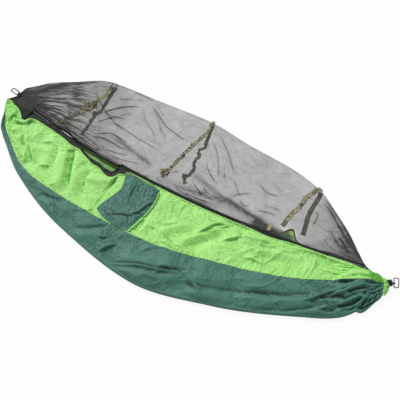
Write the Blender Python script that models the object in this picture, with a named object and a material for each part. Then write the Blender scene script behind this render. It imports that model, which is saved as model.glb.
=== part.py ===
# Double hammock with a zipped mosquito net, laid flat on its side on a floor.
# Metres, Z up. X runs along the hammock, -Y is the folded bottom of the cloth, +Y the ridge of the net.
import math

import bmesh
import bpy
from mathutils import Vector

# Where the middle of the modelled box lies before it is brought to the origin.
BOX_MIDDLE_X = -0.0081
BOX_MIDDLE_Y = 0.0065

# General clearances and cloth
GAP = 0.0003
CLOTH = 0.0015
NET = 0.0012
TAPE = 0.0008
CLOTH_END_X = 1.235

# Outline of the laid cloth, as (x, y) points on the floor
BOTTOM_FOLD = ((-1.30, 0.02), (-1.25, -0.10), (-1.09, -0.24), (-0.92, -0.355), (-0.49, -0.515),
               (0.05, -0.595), (0.50, -0.487), (0.95, -0.292), (1.14, -0.18), (1.25, -0.02), (1.30, 0.06))
PANEL_SEAM = ((-1.30, 0.03), (-1.25, -0.055), (-1.07, -0.210), (-0.945, -0.290), (-0.77, -0.338), (-0.34, -0.357),
              (0.02, -0.338), (0.34, -0.268), (0.65, -0.179), (0.86, -0.095), (1.0, -0.020), (1.25, 0.112),
              (1.30, 0.12))
NET_RIDGE = ((-1.30, 0.16), (-1.23, 0.268), (-1.03, 0.430), (-0.83, 0.528), (-0.45, 0.560), (-0.107, 0.585),
             (0.18, 0.556), (0.46, 0.540), (0.69, 0.492), (0.85, 0.430), (0.96, 0.358), (1.06, 0.270),
             (1.15, 0.215), (1.25, 0.200), (1.30, 0.195))

# Heights of the laid layers
FOLD_HALF_WIDTH = 0.012
FOLD_TOP_Z = 0.0255
NEAR_Z = 0.040

# Zip: an arc of constant height
ZIP_CENTRE_X = -0.25
ZIP_LOW_Y = 0.0
ZIP_RADIUS = 6.46
ZIP_LEFT_X = -1.12
ZIP_RIGHT_X = 1.13
ZIP_OPEN_LEFT_X = -0.905
ZIP_OPEN_RIGHT_X = -0.415
ZIP_DIP = 0.056
DIP_LEFT_RUN = 0.30
DIP_RIGHT_RUN = 0.25
DIP_START = 0.58
ZIP_RAISE = 0.012
TAPE_OUTER = 0.016
PANEL_EDGE = 0.009
COIL_INNER = 0.0006
COIL_OUTER = 0.0026
COIL_HALF = 0.0012
ZIP_TAPE_Z = NEAR_Z + CLOTH / 2 + GAP + TAPE / 2
FAR_EDGE_RISE = 0.070
BINDING_WIDTH = 0.014
BINDING_LEFT_SETBACK = 0.035
BINDING_RIGHT_SETBACK = 0.095

# Sliders
SLIDER_LENGTH = 0.014
SLIDER_HALF_WIDTH = 0.0047
SLIDER_PLATE = 0.0012
SLIDER_POST = 0.0003
SLIDER_LEFT_X = -0.918
SLIDER_RIGHT_X = -0.402
BAIL_HALF_LENGTH = 0.0032
BAIL_HALF_WIDTH = 0.0008
BAIL_GAP = 0.0018
BAIL_THICK = 0.0009
WEBBING = 0.0016
WEBBING_X = 0.562
WEBBING_WIDTH = 0.022
WEBBING_LENGTH = 0.044
TAB_LENGTH = 0.030
TAB_HALF_WIDTH = 0.0030
TAB_WINDOW = 0.0049
TAB_HALF_THICK = 0.0006

# Net heights
FAR_NET_Z = TAPE + GAP + NET / 2
RIDGE_NEAR_NET_Z = FAR_NET_Z + NET + GAP

# Camouflage tapes over the canopy, as (x, y) centre lines on the floor
STRAP_WIDTH = 0.025
NEAR_STRAPS = (((-0.812, 0.500), (-0.812, 0.400), (-0.840, 0.290), (-0.905, 0.180), (-0.918, 0.062)),
               ((-0.107, 0.560), (-0.111, 0.420), (-0.147, 0.310), (-0.157, 0.178), (-0.180, 0.040)),
               ((0.685, 0.468), (0.660, 0.390), (0.643, 0.317), (0.630, 0.230), (0.624, 0.105)))
FAR_STRAPS = (((-0.795, 0.515), (-0.765, 0.380), (-0.754, 0.239), (-0.765, 0.178), (-0.794, 0.080)),
              ((-0.095, 0.570), (-0.076, 0.442), (-0.070, 0.356), (-0.050, 0.240), (-0.013, 0.100)),
              ((0.695, 0.475), (0.708, 0.371), (0.712, 0.290), (0.725, 0.230), (0.748, 0.175)))
LOOP_X = (-0.805, -0.100, 0.690)
LOOP_OUT = 0.0233
LOOP_WIDTH = 0.016
LOOP_HOLE_RADIUS = 0.004

# Stuff sack
SACK_LEFT = ((-0.362, -0.0185), (-0.346, -0.100), (-0.345, -0.180), (-0.362, -0.250), (-0.375, -0.303))
SACK_RIGHT = ((-0.128, -0.0185), (-0.094, -0.093), (-0.078, -0.170), (-0.079, -0.240), (-0.130, -0.334))
SACK_CLOTH = 0.0012
SACK_BULGE = 0.0062
SACK_RIM = 0.030
SACK_MOUTH_SETBACK = 0.0045
SACK_DEPTH = 0.300
SACK_BACK_Z = NEAR_Z + CLOTH / 2 + 0.00045 + SACK_CLOTH / 2
SACK_HINGE_X = -0.245

# Ends: gathered cloth, wound rope, rope loop, carabiner
ROPE_RADIUS = 0.0025
LEFT_REACH = 0.034
RIGHT_REACH = 0.040
LEFT_GATHER = (-CLOTH_END_X - LEFT_REACH, 0.116)
RIGHT_GATHER = (CLOTH_END_X + RIGHT_REACH, 0.130)
LEFT_END_ANGLE = 145.0
RIGHT_END_ANGLE = 36.0
# The left carabiner hangs on the bar at its narrow end, the right one lies across, on its spine
LEFT_CARABINER_TURN = 30.0
RIGHT_SPINE_TURN = 80.0
RIGHT_HANG_U = 0.024
GATHER_NECK = 0.025
GATHER_FLUTE = 0.05
GATHER_FOLDS = 7
GATHER_RADIUS = 0.0155
GATHER_Z = 0.0165
LEFT_KNOT_TURNS = 5
RIGHT_KNOT_TURNS = 6
LEFT_KNOT_RADIUS = 0.0155
RIGHT_KNOT_RADIUS = 0.0195
KNOT_FLOOR = 0.0006
LOOP_Z = 0.0095
LOOP_INNER_HALF = 0.0036
LEFT_BAR_FROM_KNOT = 0.0125
RIGHT_BAR_FROM_KNOT = 0.0145
LOOP_BEYOND_BAR = 0.0065

# Carabiner
ROD_RADIUS = 0.003
CARABINER_LENGTH = 0.058
CARABINER_GATE_V = 0.014
CARABINER_SPINE_NEAR_V = -0.010
CARABINER_SPINE_FAR_V = -0.016
CARABINER_CORNER = 0.0085
HINGE_U = 0.0135
TONGUE_HALF = 0.0012
TONGUE_START_U = 0.0095
TONGUE_END_U = 0.0160
FORK_HALF = TONGUE_HALF + GAP
FORK_END_U = 0.0168
PIN_RADIUS = 0.0010
PIN_HOLE_RADIUS = PIN_RADIUS + GAP
GATE_RADIUS = 0.0028
GATE_START_U = 0.0117
GATE_END_U = 0.0435
NOSE_START_U = GATE_END_U + GAP
NOSE_SLOT_END_U = 0.0488
GATE_TIP_U = 0.0484
GATE_TIP_HALF = 0.0010
NOSE_SLOT_HALF = GATE_TIP_HALF + GAP
TIP_OUTER_V = 0.0007
SLOT_OUTER_V = TIP_OUTER_V + GAP


def srgb(r, g, b):
    out = []
    for c in (r, g, b):
        c = c / 255.0
        out.append(c / 12.92 if c <= 0.04045 else ((c + 0.055) / 1.055) ** 2.4)
    return out


def make_material(name, colour, rough, metal=0.0):
    mat = bpy.data.materials.new(name)
    mat.use_nodes = True
    shader = mat.node_tree.nodes["Principled BSDF"]
    shader.inputs["Base Color"].default_value = (*srgb(*colour), 1.0)
    shader.inputs["Roughness"].default_value = rough
    shader.inputs["Metallic"].default_value = metal
    return mat


def smooth_curve(points, x):
    # Monotone cubic through the points, flat end slopes not forced.
    n = len(points)
    xs = [p[0] for p in points]
    ys = [p[1] for p in points]
    step = [xs[i + 1] - xs[i] for i in range(n - 1)]
    rise = [(ys[i + 1] - ys[i]) / step[i] for i in range(n - 1)]
    slope = [rise[0]]
    for i in range(1, n - 1):
        if rise[i - 1] * rise[i] <= 0:
            slope.append(0.0)
        else:
            a = 2 * step[i] + step[i - 1]
            b = step[i] + 2 * step[i - 1]
            slope.append((a + b) / (a / rise[i - 1] + b / rise[i]))
    slope.append(rise[-1])
    k = 0
    while k < n - 2 and x > xs[k + 1]:
        k += 1
    t = (x - xs[k]) / step[k]
    t2 = t * t
    t3 = t2 * t
    return (ys[k] * (2 * t3 - 3 * t2 + 1) + slope[k] * step[k] * (t3 - 2 * t2 + t)
            + ys[k + 1] * (3 * t2 - 2 * t3) + slope[k + 1] * step[k] * (t3 - t2))


def along(points, t):
    # Smooth point at share t of an open chain of points.
    n = len(points) - 1
    f = min(max(t, 0.0), 1.0) * n
    k = min(int(f), n - 1)
    f -= k
    p1 = Vector(points[k])
    p2 = Vector(points[k + 1])
    p0 = Vector(points[k - 1]) if k > 0 else p1 * 2 - p2
    p3 = Vector(points[k + 2]) if k + 2 <= n else p2 * 2 - p1
    return 0.5 * (2 * p1 + (p2 - p0) * f + (2 * p0 - 5 * p1 + 4 * p2 - p3) * f * f
                  + (3 * p1 - p0 - 3 * p2 + p3) * f ** 3)


def blend(a, b, t):
    return a + (b - a) * t


def ease(t):
    t = min(max(t, 0.0), 1.0)
    return t * t * (3 - 2 * t)


def bottom_y(x):
    return smooth_curve(BOTTOM_FOLD, x)


def seam_y(x):
    return smooth_curve(PANEL_SEAM, x)


def ridge_y(x):
    return smooth_curve(NET_RIDGE, x)


def zip_y(x, outward=0.0):
    # Concentric arcs: outward is the distance towards the hammock's bottom.
    r = ZIP_RADIUS + outward
    return ZIP_LOW_Y + ZIP_RADIUS - math.sqrt(r * r - (x - ZIP_CENTRE_X) ** 2)


def open_share(x):
    # The open edge drops soon after the left slider and deepest before the right one.
    t = (x - ZIP_OPEN_LEFT_X) / (ZIP_OPEN_RIGHT_X - ZIP_OPEN_LEFT_X)
    if not 0 < t < 1:
        return 0.0
    return ease(t / DIP_LEFT_RUN) * ease((1 - t) / DIP_RIGHT_RUN) * (DIP_START + (1 - DIP_START) * t)


def near_edge_y(x, outward):
    return zip_y(x, outward + ZIP_DIP * open_share(x))


def net_edge_y(x, outward):
    return zip_y(x, -outward - ZIP_RAISE * open_share(x))


def far_edge_y(x):
    return zip_y(x) + FAR_EDGE_RISE * math.cos(math.pi * x / (2.08 * CLOTH_END_X)) ** 2


def near_net_z(x, y):
    low = net_edge_y(x, PANEL_EDGE)
    t = (y - low) / (ridge_y(x) - low)
    return blend(NEAR_Z, RIDGE_NEAR_NET_Z, t)


def new_object(name, mesh, material, smooth, parent=None):
    obj = bpy.data.objects.new(name, mesh)
    bpy.context.scene.collection.objects.link(obj)
    mesh.materials.append(material)
    for poly in mesh.polygons:
        poly.use_smooth = smooth
    if parent is not None:
        obj.parent = parent
    return obj


def make_body(name, verts, faces, material, smooth=True, parent=None):
    mesh = bpy.data.meshes.new(name)
    mesh.from_pydata([tuple(v) for v in verts], [], faces)
    bm = bmesh.new()
    bm.from_mesh(mesh)
    bmesh.ops.recalc_face_normals(bm, faces=bm.faces)
    bm.to_mesh(mesh)
    bm.free()
    return new_object(name, mesh, material, smooth, parent)


def shell(name, stations, thickness, material, parent=None):
    # Closed sheet. Each station is a row of (x, y, z) in one plane of constant x.
    rows = len(stations)
    cols = len(stations[0])
    upper = []
    lower = []
    for row in stations:
        for j in range(cols):
            a = Vector(row[max(j - 1, 0)])
            b = Vector(row[min(j + 1, cols - 1)])
            run = b - a
            normal = Vector((0.0, -run.z, run.y)).normalized() * (thickness / 2)
            upper.append(Vector(row[j]) + normal)
            lower.append(Vector(row[j]) - normal)
    return make_body(name, upper + lower, sheet_faces(rows, cols), material, True, parent)


def sheet_faces(rows, cols):
    half = rows * cols
    faces = []
    for i in range(rows - 1):
        for j in range(cols - 1):
            a = i * cols + j
            faces.append((a, a + 1, a + cols + 1, a + cols))
            faces.append((half + a, half + a + cols, half + a + cols + 1, half + a + 1))
    rim = [j for j in range(cols)]
    rim += [i * cols + cols - 1 for i in range(1, rows)]
    rim += [(rows - 1) * cols + j for j in range(cols - 2, -1, -1)]
    rim += [i * cols for i in range(rows - 2, 0, -1)]
    for k in range(len(rim)):
        a = rim[k]
        b = rim[(k + 1) % len(rim)]
        faces.append((a, half + a, half + b, b))
    return faces


def prism(name, sections, material, smooth=True, parent=None):
    # Closed body through equal rings of points, both ends capped.
    n = len(sections[0])
    verts = [p for ring in sections for p in ring]
    faces = []
    for i in range(len(sections) - 1):
        for j in range(n):
            a = i * n + j
            b = i * n + (j + 1) % n
            faces.append((a, b, b + n, a + n))
    faces.append(tuple(range(n - 1, -1, -1)))
    last = (len(sections) - 1) * n
    faces.append(tuple(range(last, last + n)))
    return make_body(name, verts, faces, material, smooth, parent)


def tube(name, path, radius, sides, closed, material, parent=None, up=Vector((0, 0, 1))):
    rings = []
    count = len(path)
    for i in range(count):
        if closed:
            run = path[(i + 1) % count] - path[i - 1]
        else:
            run = path[min(i + 1, count - 1)] - path[max(i - 1, 0)]
        run.normalize()
        side = run.cross(up).normalized()
        top = side.cross(run)
        ring = []
        for k in range(sides):
            a = 2 * math.pi * (k + 0.5) / sides
            ring.append(path[i] + side * radius * math.cos(a) + top * radius * math.sin(a))
        rings.append(ring)
    if not closed:
        return prism(name, rings, material, True, parent)
    verts = [p for ring in rings for p in ring]
    faces = []
    for i in range(count):
        for j in range(sides):
            a = i * sides + j
            b = i * sides + (j + 1) % sides
            c = ((i + 1) % count) * sides + (j + 1) % sides
            d = ((i + 1) % count) * sides + j
            faces.append((a, b, c, d))
    return make_body(name, verts, faces, material, True, parent)


def block(name, low, high, material, parent=None):
    pts = [(x, y, z) for x in (low[0], high[0]) for y in (low[1], high[1]) for z in (low[2], high[2])]
    faces = [(0, 1, 3, 2), (4, 6, 7, 5), (0, 4, 5, 1), (2, 3, 7, 6), (0, 2, 6, 4), (1, 5, 7, 3)]
    return make_body(name, pts, faces, material, False, parent)


def post_z(name, centre, radius, low_z, high_z, sides, material, parent=None):
    rings = []
    for z in (low_z, high_z):
        ring = []
        for k in range(sides):
            a = 2 * math.pi * (k + 0.5) / sides
            ring.append((centre[0] + radius * math.cos(a), centre[1] + radius * math.sin(a), z))
        rings.append(ring)
    return prism(name, rings, material, True, parent)


def combine(obj, other, operation):
    mod = obj.modifiers.new(operation.lower() + "_" + other.name, "BOOLEAN")
    mod.operation = operation
    mod.solver = "EXACT"
    mod.object = other
    other.hide_render = True
    other.hide_viewport = False
    other.display_type = "WIRE"


def empty(name, location, turn=0.0, parent=None):
    obj = bpy.data.objects.new(name, None)
    bpy.context.scene.collection.objects.link(obj)
    obj.location = location
    obj.rotation_euler = (0.0, 0.0, turn)
    if parent is not None:
        obj.parent = parent
    return obj


def spread(low, high, count):
    return [blend(low, high, i / (count - 1)) for i in range(count)]


def strap(name, points, width, thickness, surface_z, stations, material, parent):
    # Flat band laid on a surface, along a smooth centre line.
    rows = []
    for i in range(stations):
        t = i / (stations - 1)
        here = along(points, t)
        run = along(points, min(t + 0.01, 1.0)) - along(points, max(t - 0.01, 0.0))
        side = Vector((-run.y, run.x)).normalized() * (width / 2)
        rows.append([here - side, here, here + side])
    top = []
    low = []
    for row in rows:
        for p in row:
            z = surface_z(p.x, p.y)
            top.append((p.x, p.y, z + thickness / 2))
            low.append((p.x, p.y, z - thickness / 2))
    return make_body(name, top + low, sheet_faces(stations, 3), material, True, parent)


def hammock_cloth(mats, root):
    xs = spread(-CLOTH_END_X, CLOTH_END_X, 46)
    centre = []
    near = []
    far = []
    for x in xs:
        fold = bottom_y(x)
        seam = seam_y(x)
        turn_y = fold + FOLD_HALF_WIDTH
        mid = (FOLD_TOP_Z + CLOTH / 2) / 2
        half = (FOLD_TOP_Z - CLOTH / 2) / 2
        row = []
        for y in spread(seam - GAP / 2, turn_y, 4)[:-1]:
            row.append((x, y, CLOTH / 2))
        for k in range(7):
            a = math.pi * k / 6
            row.append((x, turn_y - FOLD_HALF_WIDTH * math.sin(a), mid - half * math.cos(a)))
        for k in range(1, 6):
            t = k / 5
            row.append((x, blend(turn_y, seam - GAP / 2, t), blend(FOLD_TOP_Z, NEAR_Z, ease(t))))
        centre.append(row)
        near.append([(x, y, NEAR_Z) for y in spread(seam + GAP / 2, near_edge_y(x, PANEL_EDGE), 5)])
        far.append([(x, y, CLOTH / 2) for y in spread(seam + GAP / 2, far_edge_y(x) - GAP / 2, 4)])
    shell("centre_panel", centre, CLOTH, mats["dark_green"], root)
    shell("side_panel_near", near, CLOTH, mats["light_green"], root)
    shell("side_panel_far", far, CLOTH, mats["light_green"], root)


def net_canopy(mats, root):
    xs = spread(-CLOTH_END_X, CLOTH_END_X, 42)
    # A station at each side of a ridge loop lets the loop meet the net's edge squarely.
    for x in LOOP_X:
        xs = [v for v in xs if abs(v - x) > LOOP_WIDTH]
        xs += [x - LOOP_WIDTH / 2, x + LOOP_WIDTH / 2]
    near = []
    far = []
    for x in sorted(xs):
        top = ridge_y(x)
        low = net_edge_y(x, PANEL_EDGE)
        near.append([(x, y, near_net_z(x, y)) for y in spread(low, top, 5)])
        far.append([(x, y, FAR_NET_Z) for y in spread(far_edge_y(x) + GAP / 2, top, 4)])
    shell("net_near", near, NET, mats["net"], root)
    shell("net_far", far, NET, mats["net"], root)

    binding = []
    for x in spread(-CLOTH_END_X + BINDING_LEFT_SETBACK, CLOTH_END_X - BINDING_RIGHT_SETBACK, 34):
        low = far_edge_y(x) - BINDING_WIDTH / 2
        z = FAR_NET_Z + NET / 2 + GAP + TAPE / 2
        binding.append([(x, low, z), (x, low + BINDING_WIDTH, z)])
    shell("far_edge_binding", binding, TAPE, mats["dark_green"], root)

    lift = NET / 2 + GAP + TAPE / 2 + 0.00015
    for i, points in enumerate(NEAR_STRAPS):
        strap("canopy_tape_near_%d" % (i + 1), points, STRAP_WIDTH, TAPE,
              lambda x, y: near_net_z(x, y) + lift, 13, mats["camo"], root)
    for i, points in enumerate(FAR_STRAPS):
        strap("canopy_tape_far_%d" % (i + 1), points, STRAP_WIDTH, TAPE,
              lambda x, y: TAPE / 2, 13, mats["camo"], root)
    for i, x in enumerate(LOOP_X):
        ridge_loop("ridge_loop_%d" % (i + 1), x, mats["camo"], root)


def ridge_loop(name, x, material, root):
    # Small flat eye of tape just outside the ridge.
    left_y = ridge_y(x - LOOP_WIDTH / 2)
    right_y = ridge_y(x + LOOP_WIDTH / 2)
    slope = (right_y - left_y) / LOOP_WIDTH
    steps = 24
    outer = []
    inner = []
    middle = Vector((x, (left_y + right_y) / 2 + GAP + LOOP_OUT / 2))
    for k in range(steps):
        a = 2 * math.pi * (k + 0.5) / steps
        c = math.cos(a)
        s = math.sin(a)
        m = max(abs(c) / (LOOP_WIDTH / 2), abs(s) / (LOOP_OUT / 2))
        r = 1.0 / m
        outer.append((middle.x + r * c, middle.y + r * s + slope * r * c))
        inner.append((middle.x + LOOP_HOLE_RADIUS * c, middle.y + LOOP_HOLE_RADIUS * s))
    low_z = FAR_NET_Z - NET / 2
    high_z = RIDGE_NEAR_NET_Z + NET / 2
    rows = [[(p[0], p[1], high_z) for p in outer], [(p[0], p[1], high_z) for p in inner],
            [(p[0], p[1], low_z) for p in inner], [(p[0], p[1], low_z) for p in outer]]
    verts = [p for ring in rows for p in ring]
    faces = []
    for i in range(4):
        for k in range(steps):
            a = i * steps + k
            b = i * steps + (k + 1) % steps
            c = ((i + 1) % 4) * steps + (k + 1) % steps
            d = ((i + 1) % 4) * steps + k
            faces.append((a, b, c, d))
    make_body(name, verts, faces, material, False, root)


def zip_parts(mats, root):
    xs = spread(ZIP_LEFT_X, ZIP_RIGHT_X, 76)
    z = ZIP_TAPE_Z
    profile = ((TAPE_OUTER, -TAPE / 2), (COIL_OUTER, -TAPE / 2), (COIL_OUTER, -COIL_HALF),
               (COIL_INNER, -COIL_HALF), (COIL_INNER, COIL_HALF), (COIL_OUTER, COIL_HALF),
               (COIL_OUTER, TAPE / 2), (TAPE_OUTER, TAPE / 2))
    near = [[(x, near_edge_y(x, d), z + h) for d, h in profile] for x in xs]
    net = [[(x, net_edge_y(x, d), z + h) for d, h in profile] for x in xs]
    prism("zip_tape_hammock", near, mats["zip_black"], False, root)
    prism("zip_tape_net", net, mats["zip_black"], False, root)
    for name, x in (("zip_stop_left", ZIP_LEFT_X + 0.004), ("zip_stop_right", ZIP_RIGHT_X - 0.004)):
        y = zip_y(x)
        top = z + COIL_HALF + GAP
        block(name, (x - 0.002, y - 0.003, top), (x + 0.002, y + 0.003, top + 0.0014), mats["steel"], root)


def slider(name, x, tab_side, mats):
    # The carrier empty stands on the centre of the zip's arc, so the slider follows the arc when it turns.
    centre_y = ZIP_LOW_Y + ZIP_RADIUS
    lean = math.asin((x - ZIP_CENTRE_X) / ZIP_RADIUS)
    carrier = empty(name + "_arc", (ZIP_CENTRE_X, centre_y, ZIP_TAPE_Z), lean)
    y0 = -ZIP_RADIUS
    low = COIL_HALF + 0.00035
    high = low + SLIDER_PLATE
    half = SLIDER_LENGTH / 2
    w = SLIDER_HALF_WIDTH
    p = SLIDER_POST
    rings = []
    for u, share in ((-half, 0.62), (-half * 0.45, 1.0), (half * 0.45, 1.0), (half, 0.62)):
        v = w * share
        rings.append([(u, y0 + a, b) for a, b in (
            (-v, -high), (v, -high), (v, -low), (p, -low), (p, low), (v, low),
            (v, high), (-v, high), (-v, low), (-p, low), (-p, -low), (-v, -low))])
    body = prism(name, rings, mats["steel"], False, carrier)
    # Arch that carries the pull tab
    b = BAIL_HALF_LENGTH
    bw = BAIL_HALF_WIDTH
    under = high + BAIL_GAP
    top = under + BAIL_THICK
    foot = 0.0009
    arch = [(-b - foot, high - 0.0004), (-b, high - 0.0004), (-b, under), (b, under), (b, high - 0.0004),
            (b + foot, high - 0.0004), (b + foot, top), (-b - foot, top)]
    sides = [[(u, y0 + v, h) for u, h in arch] for v in (-bw, bw)]
    bail = prism(name + "_arch", sides, mats["steel"], False, carrier)
    combine(body, bail, "UNION")
    # Pull tab: a bar on the hinge axis, a window round the arch, then a plate
    axis_z = high + BAIL_GAP / 2
    pivot = empty(name + "_tab_axis", (0.0, y0, axis_z), 0.0, carrier)
    t = TAB_HALF_THICK
    s = tab_side
    wide = TAB_HALF_WIDTH
    bar = TAB_HALF_THICK
    inner = BAIL_HALF_WIDTH + 0.0004
    outline = [(-s * bar, -wide), (s * TAB_LENGTH * 0.8, -wide), (s * TAB_LENGTH, -wide * 0.55),
               (s * TAB_LENGTH, wide * 0.55), (s * TAB_LENGTH * 0.8, wide), (-s * bar, wide)]
    window = [(s * bar, -inner), (s * TAB_WINDOW, -inner), (s * TAB_WINDOW, inner), (s * bar, inner)]
    plate = prism(name + "_pull_tab", [[(u, v, h) for u, v in outline] for h in (-t, t)],
                  mats["steel"], False, pivot)
    hole = prism(name + "_tab_window", [[(u, v, h) for u, v in window] for h in (-0.002, 0.002)],
                 mats["steel"], False, pivot)
    combine(plate, hole, "DIFFERENCE")


def sack_point(s, c, origin):
    # Point of the sack's outline at share s down and c across, and its distance from the sewn edges.
    left = along(SACK_LEFT, s)
    right = along(SACK_RIGHT, s)
    x = blend(left.x, right.x, c)
    y = blend(left.y, right.y, c)
    return Vector((x, y, SACK_BACK_Z)) - origin, min(x - left.x, right.x - x, (1 - s) * SACK_DEPTH)


def stuff_sack(mats):
    hinge = empty("sack_hinge", (SACK_HINGE_X, SACK_LEFT[0][1], SACK_BACK_Z))
    origin = Vector((SACK_HINGE_X, SACK_LEFT[0][1], SACK_BACK_Z))
    rows = 15
    cols = 11
    back_top = []
    back_low = []
    front_top = []
    front_low = []
    lowest = SACK_CLOTH + GAP
    up = Vector((0, 0, SACK_CLOTH / 2))
    for i in range(rows):
        for j in range(cols):
            c = j / (cols - 1)
            base, depth = sack_point(i / (rows - 1), c, origin)
            back_top.append(base + up)
            back_low.append(base - up)
            base, depth = sack_point(blend(SACK_MOUTH_SETBACK / SACK_DEPTH, 1.0, i / (rows - 1)), c, origin)
            lift = Vector((0, 0, lowest + SACK_BULGE * ease(depth / SACK_RIM)))
            front_top.append(base + lift + up)
            front_low.append(base + lift - up)
    make_body("sack_back", back_top + back_low, sheet_faces(rows, cols), mats["light_green"], True, hinge)
    make_body("sack_front", front_top + front_low, sheet_faces(rows, cols), mats["dark_green"], True, hinge)
    cord_z = lowest + SACK_CLOTH / 2 + 0.0003 + 0.001
    y = -0.010
    path = [Vector((u, y, cord_z + SACK_BULGE)) for u in (-0.085, 0.085)]
    tube("sack_drawcord", path, 0.001, 6, False, mats["rope_black"], hinge)


def gather(name, sign, target, angle, mats, root):
    # Bunched cloth between the end of the panels and the rope that ties it.
    x = sign * (CLOTH_END_X + GAP)
    low = bottom_y(x)
    high = ridge_y(x)
    straight = 0.0 if sign > 0 else 180.0
    a = math.radians(angle)
    start = Vector((x, (low + high) / 2, NEAR_Z / 2))
    end = Vector((target[0], target[1], GATHER_Z))
    bend = end - Vector((math.cos(a), math.sin(a), 0.0)) * GATHER_NECK
    rings = []
    points = 28
    steps = 8
    for i in range(steps + 1):
        s = i / steps
        mid = start * (1 - s) ** 2 + bend * 2 * s * (1 - s) + end * s * s
        # The rings turn only where the bunch is already narrow.
        turn = math.radians(blend(straight, angle, ease((s - 0.3) / 0.7)))
        side = Vector((-math.sin(turn), math.cos(turn), 0.0))
        w = blend((high - low) / 2, GATHER_RADIUS, 1 - (1 - s) ** 3)
        h = blend(NEAR_Z / 2 - CLOTH / 2, GATHER_RADIUS, s)
        ring = []
        for k in range(points):
            p = 2 * math.pi * k / points
            flute = 1.0 - GATHER_FLUTE * (1 + math.cos(GATHER_FOLDS * p)) * math.sin(math.pi * s)
            ring.append(mid + side * w * math.cos(p) * flute + Vector((0.0, 0.0, h * math.sin(p) * flute)))
        rings.append(ring)
    return prism(name, rings, mats["light_green"], True, root)


def end_fittings(side, target, angle, turns, knot_radius, bar_from_knot, mats, root):
    a = math.radians(angle)
    frame = empty("end_" + side, (target[0], target[1], 0.0), a, root)
    # Wound rope: turns lying side by side round the neck of the gather
    rings = []
    pitch = 2 * ROPE_RADIUS
    length = turns * pitch
    steps = 4
    for turn in range(turns):
        for k in range(steps):
            q = math.pi * (k + 0.5) / steps
            u = GAP + turn * pitch + ROPE_RADIUS * (1 - math.cos(q))
            r = knot_radius - ROPE_RADIUS + ROPE_RADIUS * math.sin(q)
            rings.append([(u, r * math.cos(2 * math.pi * j / 18),
                           KNOT_FLOOR + knot_radius + r * math.sin(2 * math.pi * j / 18))
                          for j in range(18)])
    prism("rope_winding_" + side, rings, mats["rope_black"], True, frame)
    # Rope loop: a closed ring that the carabiner lies in
    start = GAP + length + GAP + ROPE_RADIUS
    bar = GAP + length + bar_from_knot
    finish = bar + LOOP_BEYOND_BAR + ROPE_RADIUS
    r = LOOP_INNER_HALF + ROPE_RADIUS
    path = []
    for k in range(9):
        q = math.pi * k / 8
        path.append(Vector((finish - r + r * math.sin(q), 0, LOOP_Z - r * math.cos(q))))
    for k in range(9):
        q = math.pi * k / 8
        path.append(Vector((start + r - r * math.sin(q), 0, LOOP_Z + r * math.cos(q))))
    tube("rope_loop_" + side, path, ROPE_RADIUS, 8, True, mats["rope_black"], frame, Vector((0, 1, 0)))
    return frame, Vector((bar, 0, LOOP_Z))


def left_carabiner(frame, hang, mats):
    axis = empty("carabiner_axis_left", hang, math.radians(LEFT_CARABINER_TURN), frame)
    carabiner("left", axis, 1, mats)


def right_carabiner(frame, hang, mats):
    lean = math.atan2(CARABINER_SPINE_NEAR_V - CARABINER_SPINE_FAR_V, CARABINER_LENGTH)
    axis = empty("carabiner_axis_right", hang, math.radians(RIGHT_SPINE_TURN) - lean, frame)
    spine_v = -(CARABINER_SPINE_NEAR_V
                + (CARABINER_SPINE_FAR_V - CARABINER_SPINE_NEAR_V) * RIGHT_HANG_U / CARABINER_LENGTH)
    body = empty("carabiner_frame_right", (-RIGHT_HANG_U, -spine_v, 0), 0.0, axis)
    carabiner("right", body, -1, mats)


def rounded(points, radii, steps):
    # Open chain of straight runs with rounded corners.
    out = [Vector(points[0])]
    for i in range(1, len(points) - 1):
        p = Vector(points[i])
        a = (Vector(points[i - 1]) - p).normalized()
        b = (Vector(points[i + 1]) - p).normalized()
        half = a.angle(b) / 2
        reach = radii[i - 1] / math.tan(half)
        centre = p + (a + b).normalized() * (radii[i - 1] / math.sin(half))
        s = p + a * reach - centre
        e = p + b * reach - centre
        sweep = s.angle(e)
        for k in range(steps + 1):
            t = k / steps
            out.append(centre + (s * math.sin((1 - t) * sweep) + e * math.sin(t * sweep)) / math.sin(sweep))
    out.append(Vector(points[-1]))
    return out


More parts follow.
